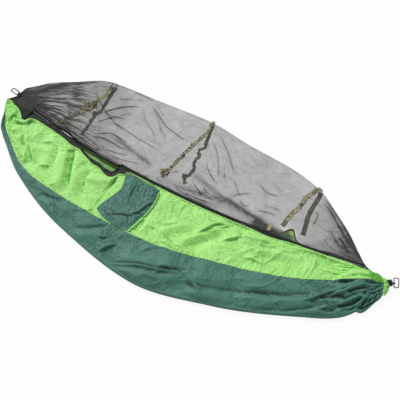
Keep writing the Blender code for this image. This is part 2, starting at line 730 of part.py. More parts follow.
def carabiner(side, axis, face, mats):
    # face is 1 or -1: the carabiner turned over has its gate on the other side.
    g = face * CARABINER_GATE_V
    corners = [(TONGUE_END_U, g, 0), (0, g, 0), (0, face * CARABINER_SPINE_NEAR_V, 0),
               (CARABINER_LENGTH, face * CARABINER_SPINE_FAR_V, 0), (CARABINER_LENGTH, g, 0), (NOSE_START_U, g, 0)]
    path = rounded(corners, (CARABINER_CORNER, CARABINER_CORNER, CARABINER_CORNER * 1.2, CARABINER_CORNER), 5)
    hook = tube("carabiner_%s" % side, path, ROD_RADIUS, 12, False, mats["steel"], axis)
    cutters = [
        block("cut_tongue_top_" + side, (TONGUE_START_U, g - 0.004, TONGUE_HALF), (0.020, g + 0.004, 0.004),
              mats["steel"], axis),
        block("cut_tongue_low_" + side, (TONGUE_START_U, g - 0.004, -0.004), (0.020, g + 0.004, -TONGUE_HALF),
              mats["steel"], axis),
        post_z("cut_pin_hole_" + side, (HINGE_U, g), PIN_HOLE_RADIUS, -0.003, 0.003, 16, mats["steel"], axis),
        block("cut_nose_" + side, (NOSE_START_U - 0.002, min(g - face * 0.006, g + face * SLOT_OUTER_V), -NOSE_SLOT_HALF),
              (NOSE_SLOT_END_U, max(g - face * 0.006, g + face * SLOT_OUTER_V), NOSE_SLOT_HALF), mats["steel"], axis)]
    for item in cutters:
        combine(hook, item, "DIFFERENCE")

    pivot = empty("gate_axis_" + side, (HINGE_U, g, 0), 0.0, axis)
    start = GATE_START_U - HINGE_U
    end = GATE_END_U - HINGE_U
    gate = tube("carabiner_gate_" + side, [Vector((start, 0, 0)), Vector((end, 0, 0))], GATE_RADIUS, 14, False,
                mats["steel"], pivot)
    tip = block("gate_tip_" + side, (end - 0.003, min(-face * 0.0018, face * TIP_OUTER_V), -GATE_TIP_HALF),
                (GATE_TIP_U - HINGE_U, max(-face * 0.0018, face * TIP_OUTER_V), GATE_TIP_HALF), mats["steel"], pivot)
    combine(gate, tip, "UNION")
    fork = block("cut_fork_" + side, (start - 0.001, -0.004, -FORK_HALF),
                 (FORK_END_U - HINGE_U + 0.0008, 0.004, FORK_HALF), mats["steel"], pivot)
    combine(gate, fork, "DIFFERENCE")
    bore = post_z("cut_gate_bore_" + side, (0, 0), PIN_HOLE_RADIUS, -0.004, 0.004, 16, mats["steel"], pivot)
    combine(gate, bore, "DIFFERENCE")
    post_z("gate_pin_" + side, (HINGE_U, g), PIN_RADIUS, -0.0026, 0.0026, 12, mats["pin_steel"], axis)


def webbing_tab(mats, root):
    # Short webbing end sewn above the zip, lying on the net
    low = net_edge_y(WEBBING_X + WEBBING_WIDTH / 2, TAPE_OUTER) + 0.0012
    lift = NET / 2 + GAP + WEBBING / 2 + 0.0001
    line = [(WEBBING_X - 0.14 * d, low + d) for d in (0.0, WEBBING_LENGTH / 2, WEBBING_LENGTH)]
    strap("webbing_tab", line, WEBBING_WIDTH, WEBBING, lambda x, y: near_net_z(x, y) + lift, 5,
          mats["tan"], root)


def shift_all(roots):
    for obj in roots:
        obj.location = Vector(obj.location) - Vector((BOX_MIDDLE_X, BOX_MIDDLE_Y, 0.0))


def build():
    for obj in list(bpy.data.objects):
        bpy.data.objects.remove(obj, do_unlink=True)
    mats = {
        "dark_green": make_material("dark_green_nylon", (80, 130, 116), 0.45),
        "light_green": make_material("light_green_nylon", (168, 234, 128), 0.45),
        "net": make_material("mosquito_net", (100, 102, 92), 0.8),
        "camo": make_material("camouflage_tape", (128, 128, 98), 0.8),
        "zip_black": make_material("zip_black", (18, 26, 20), 0.6),
        "steel": make_material("plated_steel", (178, 180, 182), 0.28, 1.0),
        "pin_steel": make_material("pin_steel", (150, 152, 155), 0.35, 1.0),
        "rope_black": make_material("rope_black", (22, 24, 24), 0.85),
        "tan": make_material("tan_webbing", (176, 150, 104), 0.8),
    }
    root = empty("hammock_root", (0.0, 0.0, 0.0))
    hammock_cloth(mats, root)
    net_canopy(mats, root)
    zip_parts(mats, root)
    webbing_tab(mats, root)
    gather("gather_left", -1, LEFT_GATHER, LEFT_END_ANGLE, mats, root)
    gather("gather_right", 1, RIGHT_GATHER, RIGHT_END_ANGLE, mats, root)
    frame, hang = end_fittings("left", LEFT_GATHER, LEFT_END_ANGLE, LEFT_KNOT_TURNS, LEFT_KNOT_RADIUS,
                               LEFT_BAR_FROM_KNOT, mats, root)
    left_carabiner(frame, hang, mats)
    frame, hang = end_fittings("right", RIGHT_GATHER, RIGHT_END_ANGLE, RIGHT_KNOT_TURNS, RIGHT_KNOT_RADIUS,
                               RIGHT_BAR_FROM_KNOT, mats, root)
    right_carabiner(frame, hang, mats)
    slider("slider_left", SLIDER_LEFT_X, 1, mats)
    slider("slider_right", SLIDER_RIGHT_X, -1, mats)
    stuff_sack(mats)
    shift_all([o for o in bpy.data.objects if o.parent is None])


build()
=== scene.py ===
"""Looks of a double hammock with a zipped mosquito net, laid flat on its side."""
import math

import bpy
import numpy as np
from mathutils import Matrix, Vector


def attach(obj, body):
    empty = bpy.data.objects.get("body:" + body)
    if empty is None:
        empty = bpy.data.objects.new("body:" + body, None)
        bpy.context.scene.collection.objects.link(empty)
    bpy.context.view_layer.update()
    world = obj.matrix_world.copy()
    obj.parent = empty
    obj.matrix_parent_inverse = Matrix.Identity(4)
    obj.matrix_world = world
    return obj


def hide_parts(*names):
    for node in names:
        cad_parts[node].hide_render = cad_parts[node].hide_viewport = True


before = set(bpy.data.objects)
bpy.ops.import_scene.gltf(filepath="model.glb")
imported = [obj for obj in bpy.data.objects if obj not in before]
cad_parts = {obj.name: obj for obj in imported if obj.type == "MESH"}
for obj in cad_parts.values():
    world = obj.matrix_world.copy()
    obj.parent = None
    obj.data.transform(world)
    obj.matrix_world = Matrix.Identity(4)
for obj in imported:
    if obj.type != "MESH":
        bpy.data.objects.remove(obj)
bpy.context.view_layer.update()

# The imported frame's origin in the coordinates that this script shares with the part's source
SHIFT = np.array((-0.0081, 0.0065, 0.0))
scene = bpy.context.scene

# Camera
cam_data = bpy.data.cameras.new("camera")
cam_data.lens = 66.24
cam_data.sensor_width = 36.0
camera = bpy.data.objects.new("camera", cam_data)
scene.collection.objects.link(camera)
camera.location = Vector((1.2346, -1.8083, 3.7845)) - Vector(SHIFT)
looked_at = Vector((0.1093, 0.0646, 0.0)) - Vector(SHIFT)
camera.rotation_euler = (looked_at - camera.location).to_track_quat("-Z", "Y").to_euler()
scene.camera = camera
scene.view_settings.view_transform = "Standard"


def mm(*values):
    """Points x, y from numbers in millimetres."""
    return [(x / 1000, y / 1000) for x, y in zip(values[::2], values[1::2])]


def chains(last, rows):
    """Rows in millimetres: the points of a chain, then so many other values."""
    return [(mm(*row[:-last]), *[v / 1000 for v in row[-last:]]) for row in rows]


# Outlines, as in the part
def monotone(points):
    xs, ys = np.array(points, float).T
    step = np.diff(xs)
    rise = np.diff(ys) / step
    slope = np.zeros(len(xs))
    slope[0], slope[-1] = rise[0], rise[-1]
    for i in range(1, len(xs) - 1):
        if rise[i - 1] * rise[i] > 0:
            a = 2 * step[i] + step[i - 1]
            b = step[i] + 2 * step[i - 1]
            slope[i] = (a + b) / (a / rise[i - 1] + b / rise[i])

    def at(x):
        k = np.clip(np.searchsorted(xs, x) - 1, 0, len(xs) - 2)
        t = (x - xs[k]) / step[k]
        t2, t3 = t * t, t * t * t
        return (ys[k] * (2 * t3 - 3 * t2 + 1) + slope[k] * step[k] * (t3 - 2 * t2 + t)
                + ys[k + 1] * (3 * t2 - 2 * t3) + slope[k + 1] * step[k] * (t3 - t2))
    return at


bottom_y = monotone(mm(-1300, 20, -1250, -100, -1090, -240, -920, -355, -490, -515, 50, -595, 500, -487,
    950, -292, 1140, -180, 1250, -20, 1300, 60))
seam_y = monotone(mm(-1300, 30, -1250, -55, -1070, -210, -945, -290, -770, -338, -340, -357, 20, -338,
    340, -268, 650, -179, 860, -95, 1000, -20, 1250, 112, 1300, 120))
ridge_y = monotone(mm(-1300, 160, -1230, 268, -1030, 430, -830, 528, -450, 560, -107, 585, 180, 556, 460,
    540, 690, 492, 840, 400, 960, 318, 1060, 235, 1140, 175, 1200, 160, 1300, 155))
# Heights of the near panel at the zip and at the bottom edge, of the net over the zip and at its ridge
NEAR_Z, EDGE_Z, NET_Z, RIDGE_Z = 0.040, 0.0255, 0.0425, 0.0040
# The tallest any cloth may stand
TOP_Z = 0.0600
ZIP_X0, ZIP_R = -0.25, 6.46
OPEN_LEFT, OPEN_RIGHT = -0.905, -0.415


def ease(t):
    t = np.clip(t, 0, 1)
    return t * t * (3 - 2 * t)


def zip_y(x, outward=0.0):
    return ZIP_R - np.sqrt((ZIP_R + outward) ** 2 - (x - ZIP_X0) ** 2)


def bell(x, middle, width, power=2):
    return np.exp(-((x - middle) / width) ** power)


def within(x, limit):
    return np.clip(x, -limit, limit)


def open_share(x):
    t = np.clip((x - OPEN_LEFT) / (OPEN_RIGHT - OPEN_LEFT), 0, 1)
    return ease(t / 0.30) * ease((1 - t) / 0.25) * (0.58 + 0.42 * t)


def net_edge_y(x, d):
    return zip_y(x, -d - 0.012 * open_share(x))


def far_edge_y(x):
    """The far seam lies low behind the zip's middle; beside the third tape the panel is pulled up."""
    free = 0.070 * np.cos(np.pi * x / (2.08 * 1.235)) ** 2
    low = ease((x + 0.95) / 0.12) * ease((0.52 - x) / 0.10)
    return zip_y(x) + free * (1 - 0.78 * low) + 0.068 * bell(x, 0.672, 0.040)


# Noise and folds
def lattice(ix, iy, seed):
    n = (ix * 374761393 + iy * 668265263 + seed * 974634777) & 0xffffffff
    n = ((n ^ (n >> 13)) * 1274126177) & 0xffffffff
    return ((n ^ (n >> 16)) & 0xffff) / 65536.0


def noise(x, y, seed):
    x0, y0 = np.floor(x).astype(np.int64), np.floor(y).astype(np.int64)
    fx, fy = x - x0, y - y0
    total = 0.0
    wx, wy = fx ** 3 * (fx * (6 * fx - 15) + 10), fy ** 3 * (fy * (6 * fy - 15) + 10)
    for dx in (0, 1):
        for dy in (0, 1):
            a = 2 * np.pi * lattice(x0 + dx, y0 + dy, seed)
            g = np.cos(a) * (fx - dx) + np.sin(a) * (fy - dy)
            total = total + g * (wx if dx else 1 - wx) * (wy if dy else 1 - wy)
    return 1.4 * total


def ridged(x, y, seed):
    return 1 - 2 * np.abs(noise(x, y, seed))


def crumple(x, y, size, seed):
    """Creases with sharp crests, bent by slower noise; about -1 to 1."""
    wx = x / size + 0.9 * noise(x / size / 2.7, y / size / 2.7, seed + 1)
    wy = y / size + 0.9 * noise(x / size / 2.7, y / size / 2.7, seed + 2)
    big = ridged(wx, wy, seed + 3)
    mid = ridged(wx * 1.9 + 5, wy * 1.9, seed + 4)
    fine = ridged(wx * 3.7, wy * 3.7 + 9, seed + 5)
    return (big + 0.5 * mid + 0.25 * fine) / 1.75


def smooth_chain(points, count=40):
    p = np.array(points, float)
    p = np.vstack([2 * p[0] - p[1], p, 2 * p[-1] - p[-2]])
    out = []
    n = len(p) - 3
    for f in np.linspace(0, n - 1e-9, count):
        k = int(f)
        t = f - k
        a, b, c, d = p[k:k + 4]
        out.append(0.5 * (2 * b + (c - a) * t + (2 * a - 5 * b + 4 * c - d) * t * t
                          + (3 * b - a - 3 * c + d) * t ** 3))
    return np.array(out)


def beside(x, y, points):
    """Share along a chain of points, and the distance to its left, for each place of a grid."""
    chain = smooth_chain(points)
    shape = x.shape
    q = np.stack([x.ravel(), y.ravel()], 1)
    best = np.full(len(q), 1e9)
    share = np.zeros(len(q))
    side = np.zeros(len(q))
    lengths = np.r_[0, np.cumsum(np.linalg.norm(np.diff(chain, axis=0), axis=1))]
    for i in range(len(chain) - 1):
        a, b = chain[i], chain[i + 1]
        ab = b - a
        length = np.linalg.norm(ab) + 1e-12
        t = np.clip(((q - a) @ ab) / length ** 2, 0, 1)
        off = q - (a + t[:, None] * ab)
        d = np.linalg.norm(off, axis=1)
        near = d < best
        best[near] = d[near]
        share[near] = ((lengths[i] + t * length) / lengths[-1])[near]
        side[near] = np.sign(ab[0] * off[:, 1] - ab[1] * off[:, 0])[near]
    return share.reshape(shape), (best * side).reshape(shape)


def fold(x, y, points, height, left, right, taper=0.35):
    """A crest along the points. left and right are how far the cloth falls off to each side."""
    share, d = beside(x, y, points)
    w = np.where(d > 0, left, right)
    ends = ease(np.minimum(share, 1 - share) / taper) if taper else 1.0
    over = np.where((share <= 0) | (share >= 1), 0.0, 1.0)
    r = np.sqrt((d / w) ** 2 + 0.02) - 0.1414
    return height * ends * over * np.exp(-1.6 * r)


def drape(x, y, points, height, wide, steep):
    """A valley along the points: the cloth falls gently to it from the right and climbs on the left."""
    share, d = beside(x, y, points)
    ends = ease(np.minimum(share, 1 - share) / 0.3)
    t = np.where(d < 0, -d / wide, d / steep)
    inside = np.minimum(t, 1)
    climb = 0.5 * inside + 0.25 * (1 - np.cos(np.pi * inside))
    beyond = np.where(d < 0, wide * 0.9, 0.060)
    climb = climb * np.exp(-(np.maximum(np.abs(d) - np.where(d < 0, wide, steep), 0) / beyond) ** 2)
    return height * ends * (np.where(d < 0, 1.0, 0.55) * climb - 0.35 * np.exp(-(t / 1.2) ** 2))


# Materials
def linear(r, g, b):
    def one(v):
        v /= 255.0
        return v / 12.92 if v <= 0.04045 else ((v + 0.055) / 1.055) ** 2.4
    return (one(r), one(g), one(b), 1.0)


class Look:
    """A Principled material with a few short ways to add nodes."""

    def __init__(self, name, rough, metal=0.0, sheen=0.0):
        self.mat = bpy.data.materials.new(name)
        self.mat.use_nodes = True
        self.tree = self.mat.node_tree
        self.shader = self.tree.nodes["Principled BSDF"]
        self.shader.inputs["Roughness"].default_value = rough
        self.shader.inputs["Metallic"].default_value = metal
        self.shader.inputs["Sheen Weight"].default_value = sheen
        self.coords = self.tree.nodes.new("ShaderNodeTexCoord")

    def node(self, kind, **values):
        n = self.tree.nodes.new("ShaderNode" + kind)
        for key, value in values.items():
            if key in n.inputs:
                n.inputs[key].default_value = value
            elif key.replace("_", " ").title() in n.inputs:
                n.inputs[key.replace("_", " ").title()].default_value = value
            else:
                setattr(n, key, value)
        return n

    def link(self, a, b):
        self.tree.links.new(a, b)

    def place(self, kind="UV", scale=(1, 1, 1)):
        m = self.node("Mapping", Scale=scale)
        self.link(self.coords.outputs[kind], m.inputs["Vector"])
        return m.outputs[0]

    def noise(self, where, scale, detail=3.0, distortion=0.0, rough=0.55):
        n = self.node("TexNoise", Scale=scale, Detail=detail, Distortion=distortion, Roughness=rough)
        self.link(where, n.inputs["Vector"])
        return n.outputs["Fac"]

    def wave(self, where, scale, direction="X"):
        n = self.node("TexWave", Scale=scale, bands_direction=direction)
        self.link(where, n.inputs["Vector"])
        return n.outputs["Fac"]

    def ramp(self, value, stops):
        n = self.node("ValToRGB")
        while len(n.color_ramp.elements) < len(stops):
            n.color_ramp.elements.new(0.5)
        for e, (at, colour) in zip(n.color_ramp.elements, stops):
            e.position, e.color = at, colour
        self.link(value, n.inputs["Fac"])
        return n.outputs["Color"]

    def value(self, fac, low, high, a=0.0, b=1.0):
        n = self.node("MapRange")
        for key, v in zip(("From Min", "From Max", "To Min", "To Max"), (a, b, low, high)):
            n.inputs[key].default_value = v
        self.link(fac, n.inputs["Value"])
        return n.outputs["Result"]

    def mix(self, fac, a, b, how="MIX"):
        n = self.node("Mix", data_type="RGBA", blend_type=how)
        for socket, v in ((n.inputs[0], fac), (n.inputs[6], a), (n.inputs[7], b)):
            if isinstance(v, (tuple, float, int)):
                socket.default_value = v
            else:
                self.link(v, socket)
        return n.outputs[2]

    def maths(self, how, a, b):
        n = self.node("Math", operation=how)
        for socket, v in ((n.inputs[0], a), (n.inputs[1], b)):
            if isinstance(v, (float, int)):
                socket.default_value = v
            else:
                self.link(v, socket)
        return n.outputs[0]

    def attribute(self, name):
        n = self.node("Attribute")
        n.attribute_name = name
        return n.outputs["Fac"]

    def bump(self, height, distance, strength, after=None):
        n = self.node("Bump", Strength=strength, Distance=distance)
        self.link(height, n.inputs["Height"])
        if after is not None:
            self.link(after, n.inputs["Normal"])
        return n.outputs["Normal"]

    def set(self, socket, value):
        self.link(value, self.shader.inputs[socket])


def nylon(name, crest, painted_shade_and_layers, rough):
    """Thin woven nylon: crest is its colour and the next colour is its painted shade in the hollows; painted
    shadow where an attribute asks for it; small crinkles and a fine plain weave.
    """
    k = Look(name, rough, sheen=0.12)
    uv = k.place("UV")
    cloudy = k.noise(uv, 9.0, 4.0)
    fine = k.noise(uv, 70.0, 3.0, 1.5)
    # Painted shade: the hollows take the deeper colour through a per-vertex attribute
    painted_shade = k.attribute("painted_shade_and_layers")
    shade = k.maths("ADD", painted_shade, k.value(fine, -0.10, 0.10, 0.3, 0.7))
    base = k.mix(shade, linear(*crest), linear(*painted_shade_and_layers))
    soft = k.ramp(cloudy, [(0.35, (0.93, 0.95, 0.94, 1)), (0.65, (1.0, 1.0, 1.0, 1))])
    base = k.mix(1.0, base, soft, "MULTIPLY")
    # Painted shadow: where its attribute is set, the colour falls to a dark copy of the shade colour
    base = k.mix(k.maths("MULTIPLY", k.attribute("painted_shadow"), 0.75), base, linear(*[0.40 * c for c in painted_shade_and_layers]))
    warp = k.wave(uv, 160.0, "X")
    weft = k.wave(uv, 160.0, "Y")
    grid = k.maths("MULTIPLY", warp, weft)
    k.set("Base Color", base)
    k.set("Roughness", k.value(fine, rough - 0.06, rough + 0.10))
    wrinkle = k.node("TexNoise", Scale=34.0, Detail=4.0, Roughness=0.55, Distortion=0.6,
                     noise_type="RIDGED_MULTIFRACTAL")
    k.link(uv, wrinkle.inputs["Vector"])
    first = k.bump(wrinkle.outputs["Fac"], 0.0017, 0.75)
    k.set("Normal", k.bump(grid, 0.00012, 0.35, first))
    return k.mat


def net_look(name, open_colour, folded_colour, alpha):
    """Fine mesh: one layer lets most light through; an attribute adds more layers where the net lies folded,
    and painted shade beside its pleats.
    """
    k = Look(name, 0.8)
    uv = k.place("UV")
    cells = k.node("TexVoronoi", Scale=520.0, feature="DISTANCE_TO_EDGE")
    k.link(uv, cells.inputs["Vector"])
    threads = k.value(cells.outputs["Distance"], 1.0, 0.55, 0.0, 0.25)
    dense = k.attribute("painted_shade_and_layers")
    cloudy = k.value(k.noise(uv, 5.0, 5.0, 0.8), -0.05, 0.05, 0.3, 0.7)
    fine = k.value(k.noise(uv, 55.0, 3.0, 1.0), -0.03, 0.03, 0.3, 0.7)
    layers = k.maths("ADD", k.maths("ADD", cloudy, fine), dense)
    k.set("Base Color", k.mix(dense, linear(*open_colour), linear(*folded_colour)))
    cover = k.node("Math", operation="ADD", use_clamp=True)
    k.link(layers, cover.inputs[0])
    cover.inputs[1].default_value = alpha
    top = k.node("Math", operation="MINIMUM")
    k.link(cover.outputs[0], top.inputs[0])
    top.inputs[1].default_value = 0.97
    k.set("Alpha", top.outputs[0])
    k.set("Normal", k.bump(threads, 0.0002, 0.4))
    return k.mat


# Each nylon: its own colour, then the colour of painted shade in its hollows
DARK = nylon("dark_green_nylon", (72, 127, 112), (26, 66, 60), 0.62)
LIGHT = nylon("light_green_nylon", (176, 243, 130), (72, 172, 62), 0.58)
NET = net_look("mosquito_net", (92, 92, 89), (23, 23, 14), 0.335)


# Mesh making
def make_mesh(name, verts, faces, mats, body, replaces, uv, face_mat=None, attrs=None):
    mesh = bpy.data.meshes.new(name)
    verts = np.asarray(verts, float).reshape(-1, 3)
    mesh.from_pydata((verts - SHIFT).tolist(), [], faces)
    for m in mats if isinstance(mats, (list, tuple)) else [mats]:
        mesh.materials.append(m)
    if face_mat is not None:
        mesh.polygons.foreach_set("material_index", np.asarray(face_mat, np.int32))
    mesh.polygons.foreach_set("use_smooth", np.full(len(mesh.polygons), True))
    index = np.empty(len(mesh.loops), np.int32)
    mesh.loops.foreach_get("vertex_index", index)
    layer = mesh.uv_layers.new(name="UVMap")
    layer.data.foreach_set("uv", np.asarray(uv, np.float32).reshape(-1, 2)[index].ravel())
    for key, values in (attrs or {}).items():
        a = mesh.attributes.new(key, "FLOAT", "POINT")
        a.data.foreach_set("value", np.asarray(values, np.float32).ravel())
    obj = bpy.data.objects.new(name, mesh)
    scene.collection.objects.link(obj)
    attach(obj, body)
    if replaces:
        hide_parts(*replaces)
    return obj


def grid_faces(nu, nv, wrap=False, start=0):
    i, j = np.meshgrid(np.arange(nu - 1), np.arange(nv if wrap else nv - 1), indexing="ij")
    a = start + i * nv + j
    b = start + i * nv + (j + 1) % nv
    return np.stack([a, b, b + nv, a + nv], -1).reshape(-1, 4).tolist()


def blur(a, n):
    for axis in (0, 1):
        pad = [(0, 0), (0, 0)]
        pad[axis] = (n + 1, n)
        c = np.cumsum(np.pad(a, pad, mode="edge"), axis=axis)
        span = 2 * n + 1
        high = np.take(c, range(span, c.shape[axis]), axis)
        low = np.take(c, range(0, c.shape[axis] - span), axis)
        a = (high - low) / span
    return a


def sheet_piece(name, p, mat, body, replaces, painted_shade_and_layers, painted_shadow=None):
    """p is a grid of places, rows along the hammock and columns across it."""
    nu, nv = p.shape[:2]
    across = np.r_[0, np.cumsum(np.linalg.norm(np.diff(p[nu // 2], axis=0), axis=1))]
    run = np.r_[0, np.cumsum(np.linalg.norm(np.diff(p[:, nv // 2], axis=0), axis=1))]
    uv = np.stack(np.meshgrid(run, across, indexing="ij"), -1)
    attrs = {"painted_shade_and_layers": painted_shade_and_layers}
    if painted_shadow is not None:
        attrs["painted_shadow"] = painted_shadow
    return make_mesh(name, p, grid_faces(nu, nv), mat, body, replaces, uv, attrs=attrs)


# The near side; each row of folds has its crest's points, its height and its fall to the left and right
NEAR_FOLDS = chains(3, (
    (-773, -83, -736, -61, -713, -30, 8, 20, 8),
    (-797, -91, -758, -83, -730, -78, 5, 15, 7),
    (-345, -45, -387, -100, -442, -133, -496, -160, -532, -196, -548, -230, 21, 46, 50),
    (-1178, -52, -1126, -50, -1098, -36, -1088, -10, -1060, 6, -1010, 4, 20, 14, 10),
    (-1195, -48, -1159, -53, -1127, -43, 8, 12, 8),
    (-1168, -122, -1138, -130, -1107, -129, 5, 12, 8),
    (-1148, -83, -1086, -117, -1052, -149, -1015, -188, 5, 30, 12),
    (-972, -153, -935, -191, -889, -232, -868, -269, 7, 22, 10),
    (-981, -202, -954, -237, -923, -286, 7, 22, 10),
    (-1039, -236, -986, -264, -952, -278, 7, 22, 9),
    (-1014, -216, -970, -240, -938, -262, 5, 18, 8),
    (-937, -109, -891, -87, -864, -62, 4, 20, 8),
    (-902, -33, -868, -26, -846, -4, 4, 16, 8),
    (-842, -254, -803, -235, -772, -216, 6, 22, 8),
    (-723, -330, -677, -313, -677, -256, 5, 15, 8),
    (204, -177, 247, -100, 293, -36, 372, -19, 12, 35, 12),
    (362, -124, 415, -72, 450, -36, 9, 30, 10),
    (440, -40, 480, -24, 530, -10, 610, 8, 15, 20, 30),
    (512, -147, 584, -131, 656, -129, 7, 25, 10),
    (686, 79, 780, 99, 866, 109, 933, 115, 1007, 137, 1065, 144, 16, 13, 9),
    (700, 48, 790, 62, 880, 84, 960, 92, 1050, 116, 10, 14, 10),
    (1020, 6, 1077, 62, 1114, 101, 1200, 130, 12, 25, 10),
    (918, 7, 994, 26, 1048, 53, 6, 20, 10),
    (1002, -12, 1065, 36, 1095, 75, 1139, 100, 1200, 128, 12, 16, 9),
    (989, -48, 1040, -3, 1102, 48, 1165, 82, 1215, 108, 13, 16, 9),
    (-110, -552, -45, -534, 48, -492, 139, -464, 240, -424, 302, -394, 12, 40, 16),
    (126, -445, 184, -417, 236, -419, 8, 30, 10),
    (302, -394, 344, -423, 400, -442, 438, -446, 13, 50, 16),
    (83, -526, 137, -519, 186, -518, 6, 20, 8),
    (-209, -542, -180, -490, -138, -436, 10, 30, 10),
    (-265, -463, -230, -450, -196, -428, 7, 20, 8),
    (989, -116, 1041, -69, 1083, -23, 1131, 33, 1190, 75, 16, 18, 20),
    (902, -221, 955, -179, 1000, -121, 1044, -74, 1094, -27, 12, 18, 11),
    (997, -140, 1061, -84, 1118, -12, 1164, 43, 1210, 90, 14, 16, 10),
    (992, -234, 1060, -167, 1122, -104, 1166, -41, 1205, 30, 14, 20, 11),
    (882, -331, 959, -304, 1046, -239, 1131, -168, 1188, -100, 14, 24, 12),
    (1180, -119, 1195, -75, 1209, -20, 1225, 30, 12, 14, 10),
))

# Broad folds: the valley's points, height, width of the shaded slope to its right and of the lit one
DRAPES = chains(3, (
    (-735, -28, -700, -80, -676, -134, -650, -185, -618, -245, -570, -310, 24, 52, 14),
    (-990, -150, -950, -195, -905, -235, -880, -275, 10, 35, 12),
    (-1060, -110, -1020, -160, -975, -200, 10, 30, 12),
    (-840, -60, -800, -120, -775, -190, -745, -250, 9, 45, 16),
    (-560, -110, -545, -170, -520, -230, -480, -290, 8, 45, 16),
    (20, -290, 60, -220, 120, -150, 200, -100, -8, 40, 30),
    (150, -250, 230, -170, 300, -90, 360, -40, -12, 40, 30),
    (-130, -560, -45, -525, 60, -480, 160, -450, 250, -400, 320, -370, 14, 45, 18),
    (280, -470, 380, -430, 500, -380, 620, -330, 10, 40, 18),
    (-420, -480, -350, -450, -280, -400, -230, -370, 10, 40, 16),
    (-720, -400, -640, -390, -560, -380, 8, 30, 14),
    (560, -360, 680, -300, 800, -240, 900, -180, 980, -120, 14, 36, 16),
    (640, -420, 760, -370, 880, -300, 1000, -200, 1080, -120, 14, 36, 16),
    (500, -100, 620, -50, 740, -10, 860, 30, -8, 36, 30),
))

# Folds of the bunched ends
END_FOLDS = chains(3, (
    (-1212, -88, -1206, -40, -1200, 4, -1188, 18, 11, 12, 9),
    (-1300, 23, -1261, 26, -1224, 30, -1200, 24, 6, 6, 10),
    (-1237, 32, -1206, 23, -1173, 6, -1121, -29, 11, 7, 12),
    (-1185, -60, -1126, -57, -1100, -42, -1096, -14, -1075, 13, 14, 12, 8),
    (-1181, 6, -1151, -13, -1126, -29, 6, 6, 8),
    (-1262, 4, -1226, -8, -1181, -31, 9, 6, 10),
    (-1250, -40, -1222, -52, -1190, -52, 8, 6, 10),
    (1188, -120, 1197, -60, 1211, -10, 1229, 34, 10, 8, 10),
    (1228, -82, 1228, -42, 1232, 1, 1240, 50, 10, 7, 9),
    (1251, -28, 1248, 4, 1250, 40, 1252, 75, 9, 6, 8),
    (1272, -6, 1267, 29, 1262, 67, 7, 6, 7),
))

# The cloth's edge below the zip hangs lower than the zip where it is slack
near_line = monotone(mm(-1235, 30, -1200, 26, -1165, 2, -1125, -28, -1108, -24, -1090, 2, -1060, 13,
    -1000, 10, -900, -1, -820, -12, -745, -28, -705, -27, -658, -43, -612, -59, -564, -74, -524, -75,
    -467, -94, -432, -99, -405, -86, -385, -50, -353, -36, -335, -7.5, -200, -6.5, -100, -5, 140, 4, 340,
    19, 474, 33, 560, 37, 620, 46, 700, 67.5, 830, 88, 950, 108, 1046, 127, 1130, 136, 1200, 144, 1235,
    144))
MAIN_X = 1.195
# Where each sleeve is drawn together on its rope: its middle and its turn
NECKS = {
    -1: (np.array((-1.297, 0.085)), math.radians(137.0)),
    1: (np.array((1.276, 0.100)), math.radians(17.0)),
}
# Half width and half height of a neck's ring, and the height of its middle
NECK_LONG, NECK_R, NECK_Z = 0.038, 0.0155, 0.0175
# Lower outline, seam, zip edge, ridge of the net, far edge; each from the end of the main rows to the neck
FAN_PATHS = {
    -1: (
        mm(-1222, -128, -1250, -88, -1272, -45, -1292, -10, -1315, 26),
        mm(-1225, -80, -1252, -50, -1276, -18, -1303, 15),
        mm(-1222, 34, -1253, 41, -1288, 50),
        mm(-1228, 262, -1262, 222, -1288, 178),
        mm(-1225, 60, -1260, 75),
    ),
    1: (
        mm(1224, -90, 1247, -50, 1262, -12, 1282, 30),
        mm(1222, 95, 1245, 110),
        mm(1225, 149, 1248, 143),
        mm(1225, 155, 1245, 147),
        mm(1225, 157, 1250, 143),
    ),
}
FAN_ROWS = 22


def near_base(x, y):
    b, s = bottom_y(x), seam_y(x)
    return EDGE_Z + (NEAR_Z - EDGE_Z) * ease((y - b) / (s - b))


def neck_point(end, degrees):
    """A point of the neck's ring: 180 is its lower side, 90 its top and 0 the side of the zip."""
    middle, turn = NECKS[end]
    low = np.array((math.sin(turn), -math.cos(turn))) * end
    a = math.radians(degrees)
    flat = middle - low * NECK_LONG * math.cos(a)
    return np.array((flat[0], flat[1], NECK_Z + NECK_R * math.sin(a)))


def fan_line(end, which, start, finish):
    """One line of a fan, from the end of a main line to the ring."""
    chain = smooth_chain([start[:2]] + list(FAN_PATHS[end][which]) + [finish[:2]], 120)
    steps = np.r_[0, np.cumsum(np.linalg.norm(np.diff(chain, axis=0), axis=1))]
    want = np.linspace(0, steps[-1], FAN_ROWS + 1)[1:]
    s = want / steps[-1]
    z = start[2] + (finish[2] - start[2]) * ease(s)
    return np.stack([np.interp(want, steps, chain[:, 0]), np.interp(want, steps, chain[:, 1]), z], -1)


def with_fans(main, which, left_ring, right_ring):
    """Add both fans to a line of the main rows, each with its place on its neck's ring in degrees."""
    left = fan_line(-1, which, main[0], neck_point(-1, left_ring))[::-1]
    right = fan_line(1, which, main[-1], neck_point(1, right_ring))
    return np.concatenate([left, main, right])


def between(a, b, columns):
    """Columns from line a to line b."""
    v = np.linspace(0, 1, columns)[None, :, None]
    return a[:, None] * (1 - v) + b[:, None] * v


def line(x, y, z):
    return np.stack([x, y, np.broadcast_to(z, x.shape)], -1)


def fan_share(rows):
    """0 in the main rows, rising to 1 at each neck; negative at the left end."""
    f = np.linspace(0, 1, FAN_ROWS + 1)[1:]
    return np.r_[-f[::-1], np.zeros(rows - 2 * FAN_ROWS), f]


